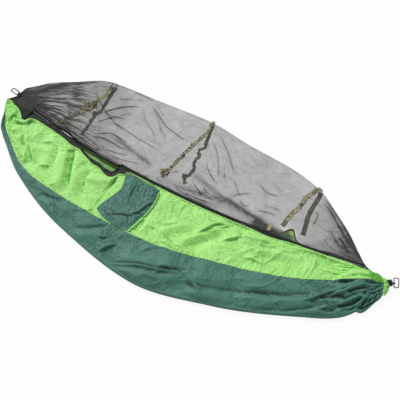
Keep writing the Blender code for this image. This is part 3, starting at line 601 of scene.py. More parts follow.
def pleats(p, count, height, seed):
    """Raise pleats that run into the necks; count of them over the columns."""
    nu, nv = p.shape[:2]
    f = fan_share(nu)[:, None]
    x = p[..., 0]
    v = np.linspace(0, 1, nv)[None, :]
    phase = count * v + 0.35 * noise(x / 0.12, v * count / 2.0, seed)
    phase = phase + 0.22 * noise(x / 0.03, v * count, seed + 1)
    wave = np.abs(((phase % 1.0) - 0.5) * 2) ** 1.4 * 2 - 1
    reach = np.where(x > 0, 0.30, 0.10)
    rise = ease((np.abs(x) - MAIN_X + reach) / reach) * np.where(x > 0, 1.0, 0.55)
    narrow = 1 - ease((np.abs(f) - 0.45) / 0.55) * 0.80
    edge = ease(np.minimum(v, 1 - v) / 0.04)
    p[..., 2] += height * rise * narrow * edge * wave
    return p


def settle(p, spare, frames):
    """Blender's cloth: the sheet gets a little more cloth than its place has room for, and buckles."""
    nu, nv = p.shape[:2]
    mesh = bpy.data.meshes.new("settle")
    mesh.from_pydata(p.reshape(-1, 3).tolist(), [], grid_faces(nu, nv))
    obj = bpy.data.objects.new("settle", mesh)
    scene.collection.objects.link(obj)
    held = np.zeros((nu, nv), bool)
    held[:, 0] = held[:, -1] = held[0] = held[-1] = True
    obj.vertex_groups.new(name="held").add(np.nonzero(held.ravel())[0].tolist(), 1.0, "REPLACE")
    modifier = obj.modifiers.new("cloth", "CLOTH")
    cloth = modifier.settings
    cloth.quality = 4
    cloth.mass = 0.12
    cloth.tension_stiffness = cloth.compression_stiffness = 15
    cloth.shear_stiffness = 8
    cloth.bending_stiffness = 0.4
    cloth.vertex_group_mass = "held"
    cloth.shrink_min = cloth.shrink_max = -spare
    cloth.effector_weights.gravity = 0
    modifier.collision_settings.use_collision = False
    modifier.point_cache.frame_start = 1
    modifier.point_cache.frame_end = frames
    for f in range(1, frames + 1):
        scene.frame_set(f)
    done = obj.evaluated_get(bpy.context.evaluated_depsgraph_get()).data
    out = np.empty(nu * nv * 3)
    done.vertices.foreach_get("co", out)
    bpy.data.objects.remove(obj)
    bpy.data.meshes.remove(mesh)
    scene.frame_set(1)
    return out.reshape(nu, nv, 3)


def refine(p):
    """Twice as many rows and columns, on smooth curves through the old ones."""
    for axis in (0, 1):
        q = np.moveaxis(p, axis, 0)
        ends = np.concatenate([2 * q[:1] - q[1:2], q, 2 * q[-1:] - q[-2:-1]])
        mid = (9 * (ends[1:-2] + ends[2:-1]) - ends[:-3] - ends[3:]) / 16
        out = np.empty((2 * len(q) - 1,) + q.shape[1:])
        out[::2], out[1::2] = q, mid
        p = np.moveaxis(out, 0, axis)
    return p


# Painted shade: how far each place lies below its blurred surroundings, used to darken the hollows
def painted_hollow_shade(z, n=5, depth=0.0035):
    return np.clip((blur(z, n) - z) / depth, -0.3, 1.0)


NX = 430
DARK_COLUMNS, LIGHT_COLUMNS = ((42, 62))
xs = np.linspace(-MAIN_X, MAIN_X, NX)

low_line = with_fans(line(xs, bottom_y(xs) + 0.012, EDGE_Z), 0, 180, 178)
seam_line = with_fans(line(xs, seam_y(xs), NEAR_Z), 1, 162, 58)
zip_line = with_fans(line(xs, near_line(xs), NEAR_Z), 2, 150, 22)
near = np.concatenate([between(low_line, seam_line, DARK_COLUMNS),
                       between(seam_line, zip_line, LIGHT_COLUMNS)[:, 1:]], 1)
x, y = near[..., 0], near[..., 1]
fan = np.abs(fan_share(len(near)))[:, None]
main = 1 - ease(fan * 4)
height = np.where(fan > 0, near[..., 2], near_base(within(x, MAIN_X), y))
relief = 0.007 * noise(x / 0.24, y / 0.17, 3) + 0.003 * noise(x / 0.10, y / 0.06, 4)
for points, rise, left, right in NEAR_FOLDS:
    relief = relief + fold(x, y, points, 0.95 * rise, left, right)
for points, rise, wide, steep in DRAPES:
    relief = relief + drape(x, y, points, rise, wide, steep)
# Puckers across the seam
pull = np.exp(-((y - seam_y(within(x, 1.25))) / 0.022) ** 2)
gathered = np.maximum(0, noise(x / 0.14, x * 0, 14) + 0.25)
puckers = np.sin(2 * np.pi * (x / 0.021 + 1.1 * noise(x / 0.06, y / 0.05, 15)))
relief = relief + 0.0024 * pull * gathered * puckers
relief = relief + 0.0006 * noise(x / 0.016, y / 0.016, 7) + 0.0010 * noise(x / 0.05, y / 0.05, 9)
v = np.linspace(0, 1, near.shape[1])[None, :]
calm = ease(v / 0.05) * ease((1 - v) / 0.05)
near[..., 2] = height + relief * calm * (1 - 0.8 * ease(fan * 1.5 - 0.3))
near = pleats(near, 12, 0.0062, 17)
near = settle(near, 0.008, 14)


def finish_near(p):
    x, y, z = p[..., 0], p[..., 1], p[..., 2]
    base = near_base(within(x, MAIN_X), y)
    sack = ease((x + 0.400) / 0.02) * ease((-0.062 - x) / 0.02) * ease((y + 0.362) / 0.02)
    flat = np.minimum(z, base - 0.0002) * sack + z * (1 - sack)
    z = np.where(sack > 0, flat, z)
    z = np.where(z > TOP_Z - 0.006, TOP_Z - 0.006 + 0.006 * np.tanh((z - TOP_Z + 0.006) / 0.006), z)
    p[..., 2] = np.maximum(z, 0.004)
    return p


def lie(cx, cy):
    """Which way the small creases run at a place."""
    if cy < seam_y(cx):
        return 0.30 * (cx > -0.2) - 0.28 * (cx < -0.4) + 0.30 * math.sin(7 * cx + 11 * cy)
    return (0.75 if cx > 0.1 else -0.75 if cx < -0.75 else 0.25) + 0.8 * math.sin(9 * cx - 13 * cy)


def creases(x, y, count, seed, length, lee, height):
    """Short creases, each with a steep and a gentle side, strewn over the grid's plan."""
    r = np.random.RandomState(seed)
    out = np.zeros_like(x)
    row_x = x.mean(1)
    for _ in range(count):
        row, col = r.randint(len(row_x)), r.randint(x.shape[1])
        cx, cy = x[row, col], y[row, col]
        l, w = length * r.uniform(0.4, 1.7), lee * r.uniform(0.7, 1.5)
        angle = lie(cx, cy) + 0.28 * r.randn()
        bend, h = r.uniform(-4, 4), height * r.uniform(0.2, 1.0) ** 2
        low, high = np.searchsorted(row_x, (cx - 1.8 * l, cx + 1.8 * l))
        dx, dy = x[low:high] - cx, y[low:high] - cy
        u = dx * math.cos(angle) + dy * math.sin(angle)
        d = -dx * math.sin(angle) + dy * math.cos(angle) + bend * u * u
        side = np.where(d > 0, 3.2 * w, w)
        out[low:high] += h * np.exp(-(u / l) ** 2) * np.exp(-np.sqrt((d / side) ** 2 + 0.05) * 1.3)
    return out


near = refine(near)
x, y = near[..., 0], near[..., 1]
v = np.linspace(0, 1, near.shape[1])[None, :]
calm = ease(v / 0.05) * ease((1 - v) / 0.05)
sharp = 0.0
for points, rise, left, right in NEAR_FOLDS:
    sharp = sharp + fold(x, y, points, 0.75 * rise, min(left, 0.012), min(right, 0.012) * 0.75)
for points, rise, left, right in END_FOLDS:
    sharp = sharp + fold(x, y, points, rise, left, right, 0.25)
sharp = sharp + creases(x, y, 420, 31, 0.036, 0.0036, 0.0042)
sharp = sharp + creases(x, y, 260, 32, 0.085, 0.0050, 0.0066)
near[..., 2] += calm * sharp
near = finish_near(near)
grain = 0.00035 * noise(near[..., 0] / 0.008, near[..., 1] / 0.008, 51)
near[..., 2] += grain * np.minimum(1, 3 * (1 - np.abs(np.linspace(-1, 1, near.shape[1]))))[None, :]
SEAM_COLUMN = 2 * (DARK_COLUMNS - 1)
# Painted shade in the near panel's hollows
painted_shade = painted_hollow_shade(near[..., 2])
sheet_piece("near_panel_cloth", near[:, SEAM_COLUMN:], LIGHT, "hammock", ["side_panel_near"],
            painted_shade[:, SEAM_COLUMN:])

# Dark green centre panel: near face, round the bottom edge, then back along the floor
edge_line = near[:, 0]
along_edge = np.gradient(edge_line[:, :2], axis=0)
along_edge /= np.linalg.norm(along_edge, axis=1, keepdims=True)
out_way = np.stack([along_edge[:, 1], -along_edge[:, 0]], -1)
fan_all = np.interp(np.arange(len(near)), np.arange(0, len(near), 2), np.abs(fan_share((len(near) + 1) // 2)))
under_z = 0.0016
turn_rows = []
for k in range(1, 10):
    a = math.pi * k / 10
    reach = 0.0115 * math.sin(a) * (1 - ease(fan_all))
    mid, half = (edge_line[:, 2] + under_z) / 2, (edge_line[:, 2] - under_z) / 2
    outer = edge_line[:, :2] + out_way * reach[:, None]
    turn_rows.append(np.concatenate([outer, (mid + half * math.cos(a))[:, None]], 1))
turn_rows = np.stack(turn_rows, 1)
inner = near[:, SEAM_COLUMN, :2]
v = np.linspace(0, 1, 12)[None, :, None]
under = edge_line[:, None, :2] * (1 - v) + inner[:, None] * v
under = np.concatenate([under, np.full(under.shape[:2] + (1,), under_z)], -1)
p = np.concatenate([near[:, SEAM_COLUMN::-1], turn_rows, under], 1)
plain_columns = turn_rows.shape[1] + under.shape[1]
# Painted shade in the hollows of the near face; none round the edge or underneath
painted_shade_and_layers = np.concatenate([painted_shade[:, SEAM_COLUMN::-1], np.zeros((len(near), plain_columns))], 1)
sheet_piece("centre_panel_cloth", p, DARK, "hammock", ["centre_panel"], painted_shade_and_layers)

# Light green far panel on the floor, bunched up a little below the open zip
xf = np.linspace(-MAIN_X, MAIN_X, 240)
far_low = with_fans(line(xf, seam_y(xf), 0.0022), 1, 200, 250)
far_high = with_fans(line(xf, far_edge_y(xf), 0.0022), 4, 320, 330)
far = between(far_low, far_high, 60)
x, y = far[..., 0], far[..., 1]
xc = within(x, 1.235)
bunch = ease((y - near_line(xc) + 0.05) / 0.04) * ease((far_edge_y(xc) - y) / 0.03)
bunch = bunch * ease((x + 1.0) / 0.2) * ease((-0.30 - x) / 0.1)
far[..., 2] += 0.0012 * (1 + crumple(x, y, 0.05, 40)) + bunch * (0.014 + 0.006 * crumple(x, y * 3, 0.09, 41))
# Painted shadow on the far panel below the open zip; painted shade in its hollows as well
far_painted_shadow = 0.75 * ease((x + 0.95) / 0.1) * ease((-0.25 - x) / 0.1) * ease((y + 0.11) / 0.03)
sheet_piece("far_panel_cloth", far, LIGHT, "hammock", ["side_panel_far"], painted_hollow_shade(far[..., 2], 3), far_painted_shadow)


# Net; each row has the points of a pleat, how dark its layers and the painted shade beside it are in
# thousandths, and its half width
NET_FOLDS = chains(2, (
    (-753, 271, -694, 353, -632, 409, -569, 451, 300, 3.2),
    (-685, 199, -642, 242, -588, 248, -518, 240, -439, 228, -364, 223, -291, 217, -240, 215, 420, 3.4),
    (-741, 269, -717, 319, -664, 381, -597, 435, -525, 469, 360, 3.2),
    (-719, 291, -665, 297, -620, 307, -576, 316, 300, 3),
    (-731, 171, -706, 229, -666, 288, -624, 322, 340, 3.4),
    (-641, 294, -616, 344, -573, 388, 240, 3),
    (-746, 426, -655, 467, -558, 521, 260, 3),
    (-685, 535, -600, 540, -541, 540, -493, 533, 340, 3.6),
    (-535, 508, -488, 491, -430, 456, -349, 409, -272, 387, -208, 375, -141, 356, 460, 3.6),
    (-498, 530, -435, 488, -376, 462, 200, 3.4),
    (-385, 387, -333, 350, -290, 326, 220, 3.4),
    (-520, 504, -430, 440, -356, 366, -314, 329, 200, 3),
    (-718, 111, -659, 130, -612, 166, -544, 173, -462, 156, 420, 5),
    (-697, 81, -632, 112, -565, 119, -490, 114, -428, 126, 420, 5),
    (-568, 51, -505, 63, -457, 76, -408, 97, 360, 4.5),
    (-507, 34, -434, 41, -362, 60, -300, 81, 360, 4.5),
    (-588, 163, -479, 146, -351, 120, -216, 100, 340, 16),
    (-218, 82, -62, 61, 98, 84, 252, 113, 389, 109, 500, 114, 645, 124, 170, 26),
    (-98, 152, -32, 183, 89, 162, 205, 135, 321, 124, 408, 113, 480, 106, 540, 121, 607, 131, 300, 18),
    (-44, 541, 30, 484, 98, 426, 166, 353, 222, 291, 360, 3.2),
    (-1, 317, 56, 255, 115, 212, 163, 186, 340, 3.4),
    (122, 327, 171, 253, 200, 3),
    (-163, 60, -127, 122, -79, 166, 340, 4),
    (17, 129, 78, 96, 124, 62, 360, 4),
    (85, 139, 140, 102, 360, 4),
    (262, 155, 310, 214, 367, 257, 340, 3.4),
    (345, 337, 422, 304, 473, 304, 522, 307, 380, 3.6),
    (425, 394, 481, 357, 516, 360, 220, 3),
    (215, 276, 275, 224, 308, 191, 260, 3.2),
    (431, 154, 492, 174, 566, 184, 340, 4),
    (319, 172, 353, 150, 400, 157, 340, 5),
    (451, 209, 516, 222, 570, 229, 260, 3.2),
    (604, 387, 654, 400, 699, 410, 300, 3.6),
    (723, 321, 753, 331, 765, 279, 759, 234, 380, 3.4),
    (727, 426, 800, 393, 864, 347, 953, 277, 1026, 223, 400, 6),
    (716, 463, 793, 422, 862, 380, 943, 328, 1008, 277, 1063, 230, 340, 12),
    (864, 191, 898, 163, 260, 4),
    (921, 257, 972, 223, 1028, 177, 400, 6),
    (850, 275, 905, 235, 960, 185, 200, 4),
    (-60, 480, 30, 400, 100, 300, 150, 200, 300, 3.6),
    (-560, 470, -480, 380, -400, 330, -320, 260, 260, 3.4),
    (-900, 420, -780, 330, -640, 260, -500, 210, 300, 3.6),
    (-1259, 154, -1191, 223, -1144, 289, -1026, 379, 260, 6),
    (-1153, 227, -1062, 319, -938, 423, 260, 5),
    (-1090, 303, -988, 326, -880, 363, 260, 5),
))
BAND = monotone(mm(-1300, 150, -1200, 160, -1000, 110, -850, 80, -700, 55, -550, 40, -400, 36, -200, 50,
    -50, 85, 80, 100, 250, 85, 400, 75, 520, 66, 620, 54, 800, 30, 1000, 24, 1300, 20))
FAN_CENTRE = (-1.335, 0.085)


# The net's lip hangs down over the open part of the zip
OPEN_LIP = monotone(mm(-905, 36, -830, 28, -750, 12, -701, -2, -610, -6, -538, -16, -478, -16, -435, -18,
    -415, -8, -400, 6))


def coil_y(x, slack, taut):
    """A coil's line: taut along the zip, and lower where the open part hangs slack."""
    is_open = (x > OPEN_LEFT) & (x < OPEN_RIGHT)
    return np.where(is_open, np.minimum(slack(np.clip(x, OPEN_LEFT, OPEN_RIGHT)), taut), taut)


def net_lip_y(x):
    return coil_y(x, OPEN_LIP, net_edge_y(x, 0.0016))


def net_line(x):
    """Lower edge of the near net: above the zip, and down to the cloth's edge past the zip's ends."""
    past = np.maximum(ease((-1.105 - x) / 0.03), ease((x - 1.115) / 0.03))
    return (net_lip_y(x) + 0.0082) * (1 - past) + (near_line(x) - 0.004) * past


def net_height(x, y):
    low = net_line(within(x, MAIN_X))
    t = np.clip((y - low) / (ridge_y(within(x, MAIN_X)) - low), 0, 1)
    return NET_Z + (RIDGE_Z - NET_Z) * t, t


def net_relief(x, y, t):
    out = 0.007 * noise(x / 0.20, y / 0.15, 61) + 0.0035 * noise(x / 0.07, y / 0.05, 62)
    out = out + 0.0015 * crumple(x, y, 0.045, 64)
    return 4 * t * (1 - t) * out


def strewn(x, y, count, seed, length, half, strength, turn):
    """Many short thin lines over the grid's plan; turn gives their direction at a place."""
    r = np.random.RandomState(seed)
    out = np.zeros_like(x)
    row_x = x.mean(1)
    for _ in range(count):
        row = r.randint(len(row_x))
        col = r.randint(x.shape[1])
        cx, cy = x[row, col], y[row, col]
        l, w = length * r.uniform(0.4, 1.6), half * r.uniform(0.6, 1.7)
        angle, bend, s = turn(cx, cy) + 0.35 * r.randn(), r.uniform(-3, 3), strength * r.uniform(0.3, 1.0)
        low, high = np.searchsorted(row_x, (cx - 1.6 * l, cx + 1.6 * l))
        if high <= low:
            continue
        dx, dy = x[low:high] - cx, y[low:high] - cy
        u = dx * math.cos(angle) + dy * math.sin(angle)
        d = -dx * math.sin(angle) + dy * math.cos(angle) + bend * u * u
        out[low:high] += s * np.exp(-(u / l) ** 4) * np.exp(-(d / w) ** 2)
    return out


def net_lie(cx, cy):
    """Which way the thin lines run at a place: along the net, and a few of them steeply."""
    return -0.12 + 0.25 * math.sin(5 * cx + 9 * cy) + (1.1 if math.sin(23 * cx - 31 * cy) > 0.72 else 0.0)


def streaks(value):
    """Ridged noise spread to about -0.8 to 1 round a mean of 0."""
    return np.clip((value - 0.58) * 2.4, -0.8, 1.0)


def net_layers(x, y):
    """How much darker than one layer the net is where it lies folded, with painted shade on the lee side of
    each pleat, and how high its pleats are.
    """
    dense = np.zeros_like(x)
    rise = np.zeros_like(x)
    for points, dark, half in NET_FOLDS:
        half = max(half, 0.0041)
        px, py = [q[0] for q in points], [q[1] for q in points]
        reach = 0.02 + 4 * half
        near_fold = (x > min(px) - reach) & (x < max(px) + reach)
        near_fold &= (y > min(py) - reach) & (y < max(py) + reach)
        share, d = beside(x[near_fold], y[near_fold], points)
        ends = ease(np.minimum(share, 1 - share) / 0.25)
        d = d + 0.30 * half * noise(x[near_fold] / 0.02, y[near_fold] / 0.02, 71)
        add = ends * np.exp(-(d / half) ** 2)
        # Painted shade on the lee side of each pleat
        lee = 0.30 * ends * np.exp(-np.abs(d) / (half * 2.6)) * (d < 0)
        dense[near_fold] += 1.05 * dark * add + 1.2 * dark * lee
        rise[near_fold] += 0.35 * min(half, 0.012) * add
    xc = within(x, 1.235)
    up = y - zip_y(xc)
    t = net_height(x, y)[1]
    # Above the zip the slack net lies in long pleats
    bend = 0.6 * noise(x / 0.14, up / 0.06, 72)
    long_pleats = ridged(x / 0.22 + bend, up / 0.016 + 1.7 * bend, 73)
    fine_pleats = ridged(x / 0.10 + bend, up / 0.0065 + 3 * bend, 85)
    share = up / BAND(x) + 0.35 * noise(x / 0.09, up / 0.03, 74) + 0.22 * noise(x / 0.025, up / 0.012, 86)
    edge = 1 - ease((share - 0.10) / 1.00)
    light = 1 - 0.75 * bell(x, 0.31, 0.12, 4)
    band = light * edge * (0.34 + 0.24 * streaks(long_pleats) + 0.20 * streaks(fine_pleats))
    dense += band + 0.22 * ease(1 - up / 0.012)
    # Darker net before the far panel's corner: painted shade of the cloth folded under it
    dense += 0.42 * ease((x - 0.43) / 0.06) * ease((0.73 - x) / 0.05) * ease((0.072 - up) / 0.03)
    # The left end, where the net runs together: every pleat fades at its own distance
    r = np.hypot(x - FAN_CENTRE[0], y - FAN_CENTRE[1])
    angle = np.arctan2(y - FAN_CENTRE[1], x - FAN_CENTRE[0])
    sway = 0.12 * noise(x / 0.16, y / 0.10, 75) + 0.04 * noise(x / 0.05, y / 0.04, 87)
    broad = noise(angle * 3.6 + 2 * sway, r / 0.9, 76)
    middle = ridged(angle * 9 + 4 * sway, r / 0.5, 78)
    thin = ridged(angle * 24 + 8 * sway, r / 0.22, 79)
    thinner = ridged(angle * 55 + 14 * sway, r / 0.12, 88)
    top = np.exp(-((t - 0.97) / 0.10) ** 2) * np.exp(-((r - 0.20) / 0.30) ** 2)
    low = np.exp(-np.clip(up / 0.10, 0, 9) ** 2)
    fade = 1.06 - r / 0.74 + 0.34 * broad + 0.34 * top + 0.26 * low
    left = ease(np.clip(fade, 0, 1.2))
    dense += left * (0.46 + 0.22 * streaks(middle) + 0.24 * streaks(thin) + 0.16 * streaks(thinner))
    dense += 0.26 * ease(1.5 - r / 0.26) + 0.10 * ease((0.98 - r) / 0.35)
    dense += 0.13 * ease((x - 0.90) / 0.15) + 0.09 * ease((x - 0.62) / 0.20)
    lines = 0.30 * ease(1.55 - r / 0.55) * np.maximum(0, streaks(thin) - 0.15)
    dense += lines + 0.10 * ease(1.5 - r / 0.7) * np.maximum(0, middle)
    rise += 0.004 * left * middle + 0.0015 * left * thin
    # The right end
    away = np.arctan2(y - 0.13, 1.30 - x)
    run = np.hypot(y - 0.13, 1.30 - x)
    right = ease((x - 0.72) / 0.35)
    dense += right * (0.16 + 0.14 * ridged(away * 9 + 0.8 * noise(x / 0.06, y / 0.06, 81), run / 0.3, 82)
                      + 0.10 * ridged(away * 26 + noise(x / 0.04, y / 0.04, 89), run / 0.15, 90))
    dense += 0.34 * ease((x - 0.86) / 0.30) * ease((t - 0.62) / 0.2) * ease((0.985 - t) / 0.05)
    # Thin lines everywhere, along the length low down and leaning higher up
    short = strewn(x, y, 520, 301, 0.050, 0.0022, 0.13, net_lie)
    dense += short + strewn(x, y, 110, 302, 0.110, 0.0030, 0.16, net_lie)
    dense += 0.07 * noise(x / 0.05, y / 0.04, 83) + 0.05 * noise(x / 0.014, y / 0.010, 84)
    dense -= 0.16 * ease((t - 0.93) / 0.07) * ease((x - 0.75) / 0.1)
    dense -= 0.10 * np.exp(-((t - 0.965) / 0.03) ** 2) * bell(x, -0.14, 0.06)
    dense += 0.07 * ease((t - 0.975) / 0.02) * (x < 0.7)
    # Less of it over the far panel's corner beside the third tape
    dense -= 1.10 * np.exp(-((x - 0.674) / 0.034) ** 2 - ((y - 0.131) / 0.014) ** 2)
    return np.clip(dense, -0.14, 1.0), rise


def ridge_line(x):
    return ridge_y(x) - 0.016 * bell(x, -1.06, 0.10)


NET_X, NET_ROWS = ((1000, 230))
xn = np.linspace(-MAIN_X, MAIN_X, NET_X)
net_low = with_fans(line(xn, net_line(xn), NET_Z), 2, 158, 8)
net_ridge = with_fans(line(xn, ridge_line(xn), RIDGE_Z), 3, -20, 0)
near_net = between(net_low, net_ridge, NET_ROWS)
x, y = near_net[..., 0], near_net[..., 1]
dense, rise = net_layers(x, y)
t = np.linspace(0, 1, NET_ROWS)[None, :] * np.ones_like(x)
bulge = 0.0035 * ease(t / 0.06) * (1 - t)
# Room for the sliders to pass under the net along the open part
off_arc = (y - zip_y(within(x, 1.2))) / np.where(x < -0.6, 0.024, 0.016)
passing = ease((x + 0.97) / 0.04) * ease((-0.37 - x) / 0.04) * np.exp(-off_arc ** 4)
near_net[..., 2] += net_relief(x, y, t) + rise + bulge
clear_z = 0.0503 + 0.0050 * bell(x, -0.724, 0.028)
near_net[..., 2] += passing * np.maximum(0, clear_z - near_net[..., 2])
near_net[..., 2] = np.clip(near_net[..., 2], 0.0028, TOP_Z)
far_net = between(with_fans(line(xn, far_edge_y(xn), 0.0030), 4, -30, -30), net_ridge, 50)[:, ::-1]
xf, yf = far_net[..., 0], far_net[..., 1]
far_dense = 0.10 * np.maximum(0, crumple(xf, yf, 0.07, 65) - 0.2)
from_ridge = np.clip((ridge_y(within(xf, 1.25)) - yf) / 0.05, 0, 1)
net_z_far = 0.0016 + 0.0012 * (1 + crumple(xf, yf, 0.09, 63)) * from_ridge
far_net[:, 1:, 2] = np.minimum(net_z_far, 0.0042)[:, 1:]
net_grid = np.concatenate([near_net, far_net[:, 1:]], 1)
net_dense = np.concatenate([dense, far_dense[:, 1:]], 1)
sheet_piece("net_canopy", net_grid, NET, "hammock", ["net_near", "net_far"], net_dense)


# Small mesh makers
def frames_along(path, up=(0, 0, 1)):
    path = np.asarray(path, float)
    t = np.gradient(path, axis=0)
    t /= np.linalg.norm(t, axis=1, keepdims=True) + 1e-12
    side = np.cross(np.broadcast_to(up, t.shape), t)
    side /= np.linalg.norm(side, axis=1, keepdims=True) + 1e-12
    return t, side, np.cross(t, side)


def resample(points, step):
    chain = smooth_chain(points, 30 * len(points))
    s = np.r_[0, np.cumsum(np.linalg.norm(np.diff(chain, axis=0), axis=1))]
    want = np.linspace(0, s[-1], max(3, int(s[-1] / step) + 1))
    return np.stack([np.interp(want, s, chain[:, i]) for i in range(chain.shape[1])], -1)


def tube_grid(path, radius, sides, up=(0, 0, 1)):
    """Rings round a path; radius may change along it."""
    _, side, top = frames_along(path, up)
    a = np.linspace(0, 2 * np.pi, sides, endpoint=False)[None, :] + np.zeros((len(path), 1))
    r = np.broadcast_to(np.asarray(radius, float).reshape(-1, 1) if np.ndim(radius) == 1 else radius, a.shape)
    return (np.asarray(path)[:, None] + side[:, None] * (r * np.cos(a))[..., None]
            + top[:, None] * (r * np.sin(a))[..., None])


def capped(nu, nv, start=0):
    faces = grid_faces(nu, nv, True, start)
    faces.append([start + j for j in range(nv)][::-1])
    faces.append([start + (nu - 1) * nv + j for j in range(nv)])
    return faces


def closed_faces(n, m):
    """Faces of n rings of m points each, the last ring joined to the first."""
    last = (n - 1) * m
    return grid_faces(n, m, True) + [[last + j, last + (j + 1) % m, (j + 1) % m, j] for j in range(m)]


def tube_piece(name, path, radius, mat, body, replaces, sides=8, up=(0, 0, 1), closed=False):
    g = tube_grid(path, radius, sides, up)
    faces = closed_faces(len(g), sides) if closed else capped(len(g), sides)
    s = np.r_[0, np.cumsum(np.linalg.norm(np.diff(np.asarray(path), axis=0), axis=1))]
    u = np.stack(np.meshgrid(s, np.linspace(0, 2 * np.pi, sides) * np.mean(radius), indexing="ij"), -1)
    return make_mesh(name, g, faces, mat, body, replaces, u)


def slab(centre, thick):
    """A closed strip round a grid of places: its vertices, the lower side after the upper, and its faces."""
    n, m = centre.shape[:2]
    du, dv = np.gradient(centre, axis=0), np.gradient(centre, axis=1)
    normal = np.cross(du, dv)
    normal /= np.linalg.norm(normal, axis=-1, keepdims=True) + 1e-12
    normal *= np.sign(normal[..., 2:3].mean() or 1)
    top = centre + normal * thick / 2
    low = centre - normal * thick / 2
    ring = np.concatenate([top, low[:, ::-1]], 1)
    return ring, capped_strip(n, 2 * m)


def capped_strip(n, m2):
    faces = grid_faces(n, m2, True)
    m = m2 // 2
    for i in (0, n - 1):
        for j in range(m - 1):
            f = [i * m2 + j, i * m2 + j + 1, i * m2 + m2 - 2 - j, i * m2 + m2 - 1 - j]
            faces.append(f if i else f[::-1])
    return faces


def both_sides(values):
    return np.concatenate([values, values[:, ::-1]], 1)


def strip(grid, thick):
    """A part for join_pieces in its first material."""
    return (*slab(grid, thick), 0, None)


def join_pieces(name, parts, mats, body, replaces=()):
    """One mesh of several parts, each with vertices, faces, material index and uv, or None for its plan."""
    verts, faces, index, uvs = [], [], [], []
    for v, f, m, uv in parts:
        v = np.asarray(v, float).reshape(-1, 3)
        start = sum(len(a) for a in verts)
        verts.append(v)
        uvs.append(np.asarray(uv, float).reshape(-1, 2) if uv is not None else v[:, :2])
        faces += [[start + k for k in face] for face in f]
        index += [m] * len(f)
    all_verts = np.concatenate(verts)
    return make_mesh(name, all_verts, faces, mats, body, replaces, np.concatenate(uvs), index,
                     {"painted_shade_and_layers": np.zeros(len(all_verts))})


# Zip
def woven(name, base, dark, rough, rib=900.0, mottled=0.0):
    """Woven tape: ribs across it and fine slanting threads; mottled is the scale of its creases."""
    k = Look(name, rough)
    uv = k.place("UV")
    ribs = k.wave(uv, rib)
    cross = k.wave(uv, rib * 0.7, "DIAGONAL")
    threads = k.maths("MULTIPLY", ribs, cross)
    fuzz = k.noise(uv, 240.0, 3.0)
    colour = k.mix(k.value(fuzz, -0.2, 0.7, 0.3, 0.7), linear(*base), linear(*dark))
    if mottled:
        creased = k.value(k.noise(uv, mottled, 4.0, 1.2), 0.0, 1.0, 0.40, 0.62)
        colour = k.mix(creased, colour, linear(*dark))
    k.set("Base Color", colour)
    k.set("Normal", k.bump(threads, 0.0002, 0.5))
    k.set("Roughness", k.value(fuzz, rough - 0.08, rough + 0.1, 0.3, 0.7))
    return k.mat


def coil_look():
    k = Look("zip_coil", 0.75)
    uv = k.place("UV")
    turns = k.wave(uv, 250.0, "X")
    k.set("Base Color", k.mix(turns, linear(10, 12, 11), linear(34, 38, 36)))
    k.set("Normal", k.bump(turns, 0.0004, 0.8))
    return k.mat


def thread_look(name, colour):
    k = Look(name, 0.65)
    uv = k.place("UV")
    twist = k.wave(uv, 700.0, "DIAGONAL")
    k.set("Base Color", k.mix(twist, linear(*colour), linear(*[0.7 * c for c in colour])))
    k.set("Normal", k.bump(twist, 0.0001, 0.6))
    return k.mat


ZIP_TAPE = woven("zip_tape", (24, 28, 24), (12, 15, 13), 0.85)
SOFT_TAPE = woven("zip_tape_soft", (62, 68, 56), (20, 24, 21), 0.85, mottled=38.0)
ZIP_COIL = coil_look()
LIGHT_THREAD = thread_look("light_green_thread", (150, 222, 118))
DARK_THREAD = thread_look("dark_green_thread", (52, 92, 84))
BLACK_THREAD = thread_look("black_thread", (30, 32, 30))


def stitches(path, length=0.0032, gap=0.0018, radius=0.00028, sides=5):
    """Short thread arcs along a path. Returns vertices and faces."""
    s = np.r_[0, np.cumsum(np.linalg.norm(np.diff(path, axis=0), axis=1))]
    count = int(s[-1] / (length + gap))
    starts = np.arange(count) * (length + gap)
    verts, faces = [], []
    f = np.linspace(0, 1, 4)
    for k in range(count):
        at = starts[k] + f * length
        p = np.stack([np.interp(at, s, path[:, i]) for i in range(3)], -1)
        p[:, 2] += radius * 1.3 * np.sin(np.pi * f) - radius * 0.6
        g = tube_grid(p, radius * (0.6 + 0.4 * np.sin(np.pi * f)), sides)
        faces += capped(4, sides, k * 4 * sides)
        verts.append(g.reshape(-1, 3))
    return np.concatenate(verts), faces


def sewn(path, slot, *sizes):
    """Stitches as a part for join_pieces."""
    return (*stitches(path, *sizes), slot, None)


ZIP_LEFT, ZIP_RIGHT = -1.12, 1.13
COIL_Z = 0.04145
zx = np.linspace(ZIP_LEFT, ZIP_RIGHT, 1200)
# The lower lip's coil in the open part
OPEN_COIL = monotone(mm(-905, 32, -830, 19, -750, 3, -706, -9, -652, -30, -590, -46, -535, -51, -471, -62,
    -437, -62, -420, -36, -412, -8, -400, 10))


def near_coil_y(x):
    return coil_y(x, OPEN_COIL, zip_y(x, 0.0016))


def near_tape_grid():
    """Tape below the zip: from the coil down to the cloth's edge, and under it."""
    coil = near_coil_y(zx) - 0.0004
    hem = np.minimum(near_line(zx) - 0.006, coil - 0.010)
    v = np.linspace(0, 1, 9)[None, :]
    y = coil[:, None] * (1 - v) + hem[:, None] * v
    x = np.repeat(zx[:, None], 9, 1)
    slack = np.sin(np.pi * v) * (coil - hem)[:, None]
    z = COIL_Z - 0.0002 - (COIL_Z - 0.0395) * ease(v * 1.2)
    z = z - 0.05 * slack * (1 + noise(x / 0.03, y / 0.02, 91))
    return np.stack([x, y, z], -1)


def zip_coil(y, radius):
    path = np.stack([zx, y, np.full_like(zx, COIL_Z + 0.0006)], -1)
    return (tube_grid(path, radius, 6), capped(len(zx), 6), 1, None)


teeth = 0.0011 + 0.00022 * (np.arange(len(zx)) % 2)
join_pieces("zip_tape_lower", [strip(near_tape_grid(), 0.0007), zip_coil(near_coil_y(zx), teeth)],
            [SOFT_TAPE, ZIP_COIL], "hammock", ["zip_tape_hammock"])

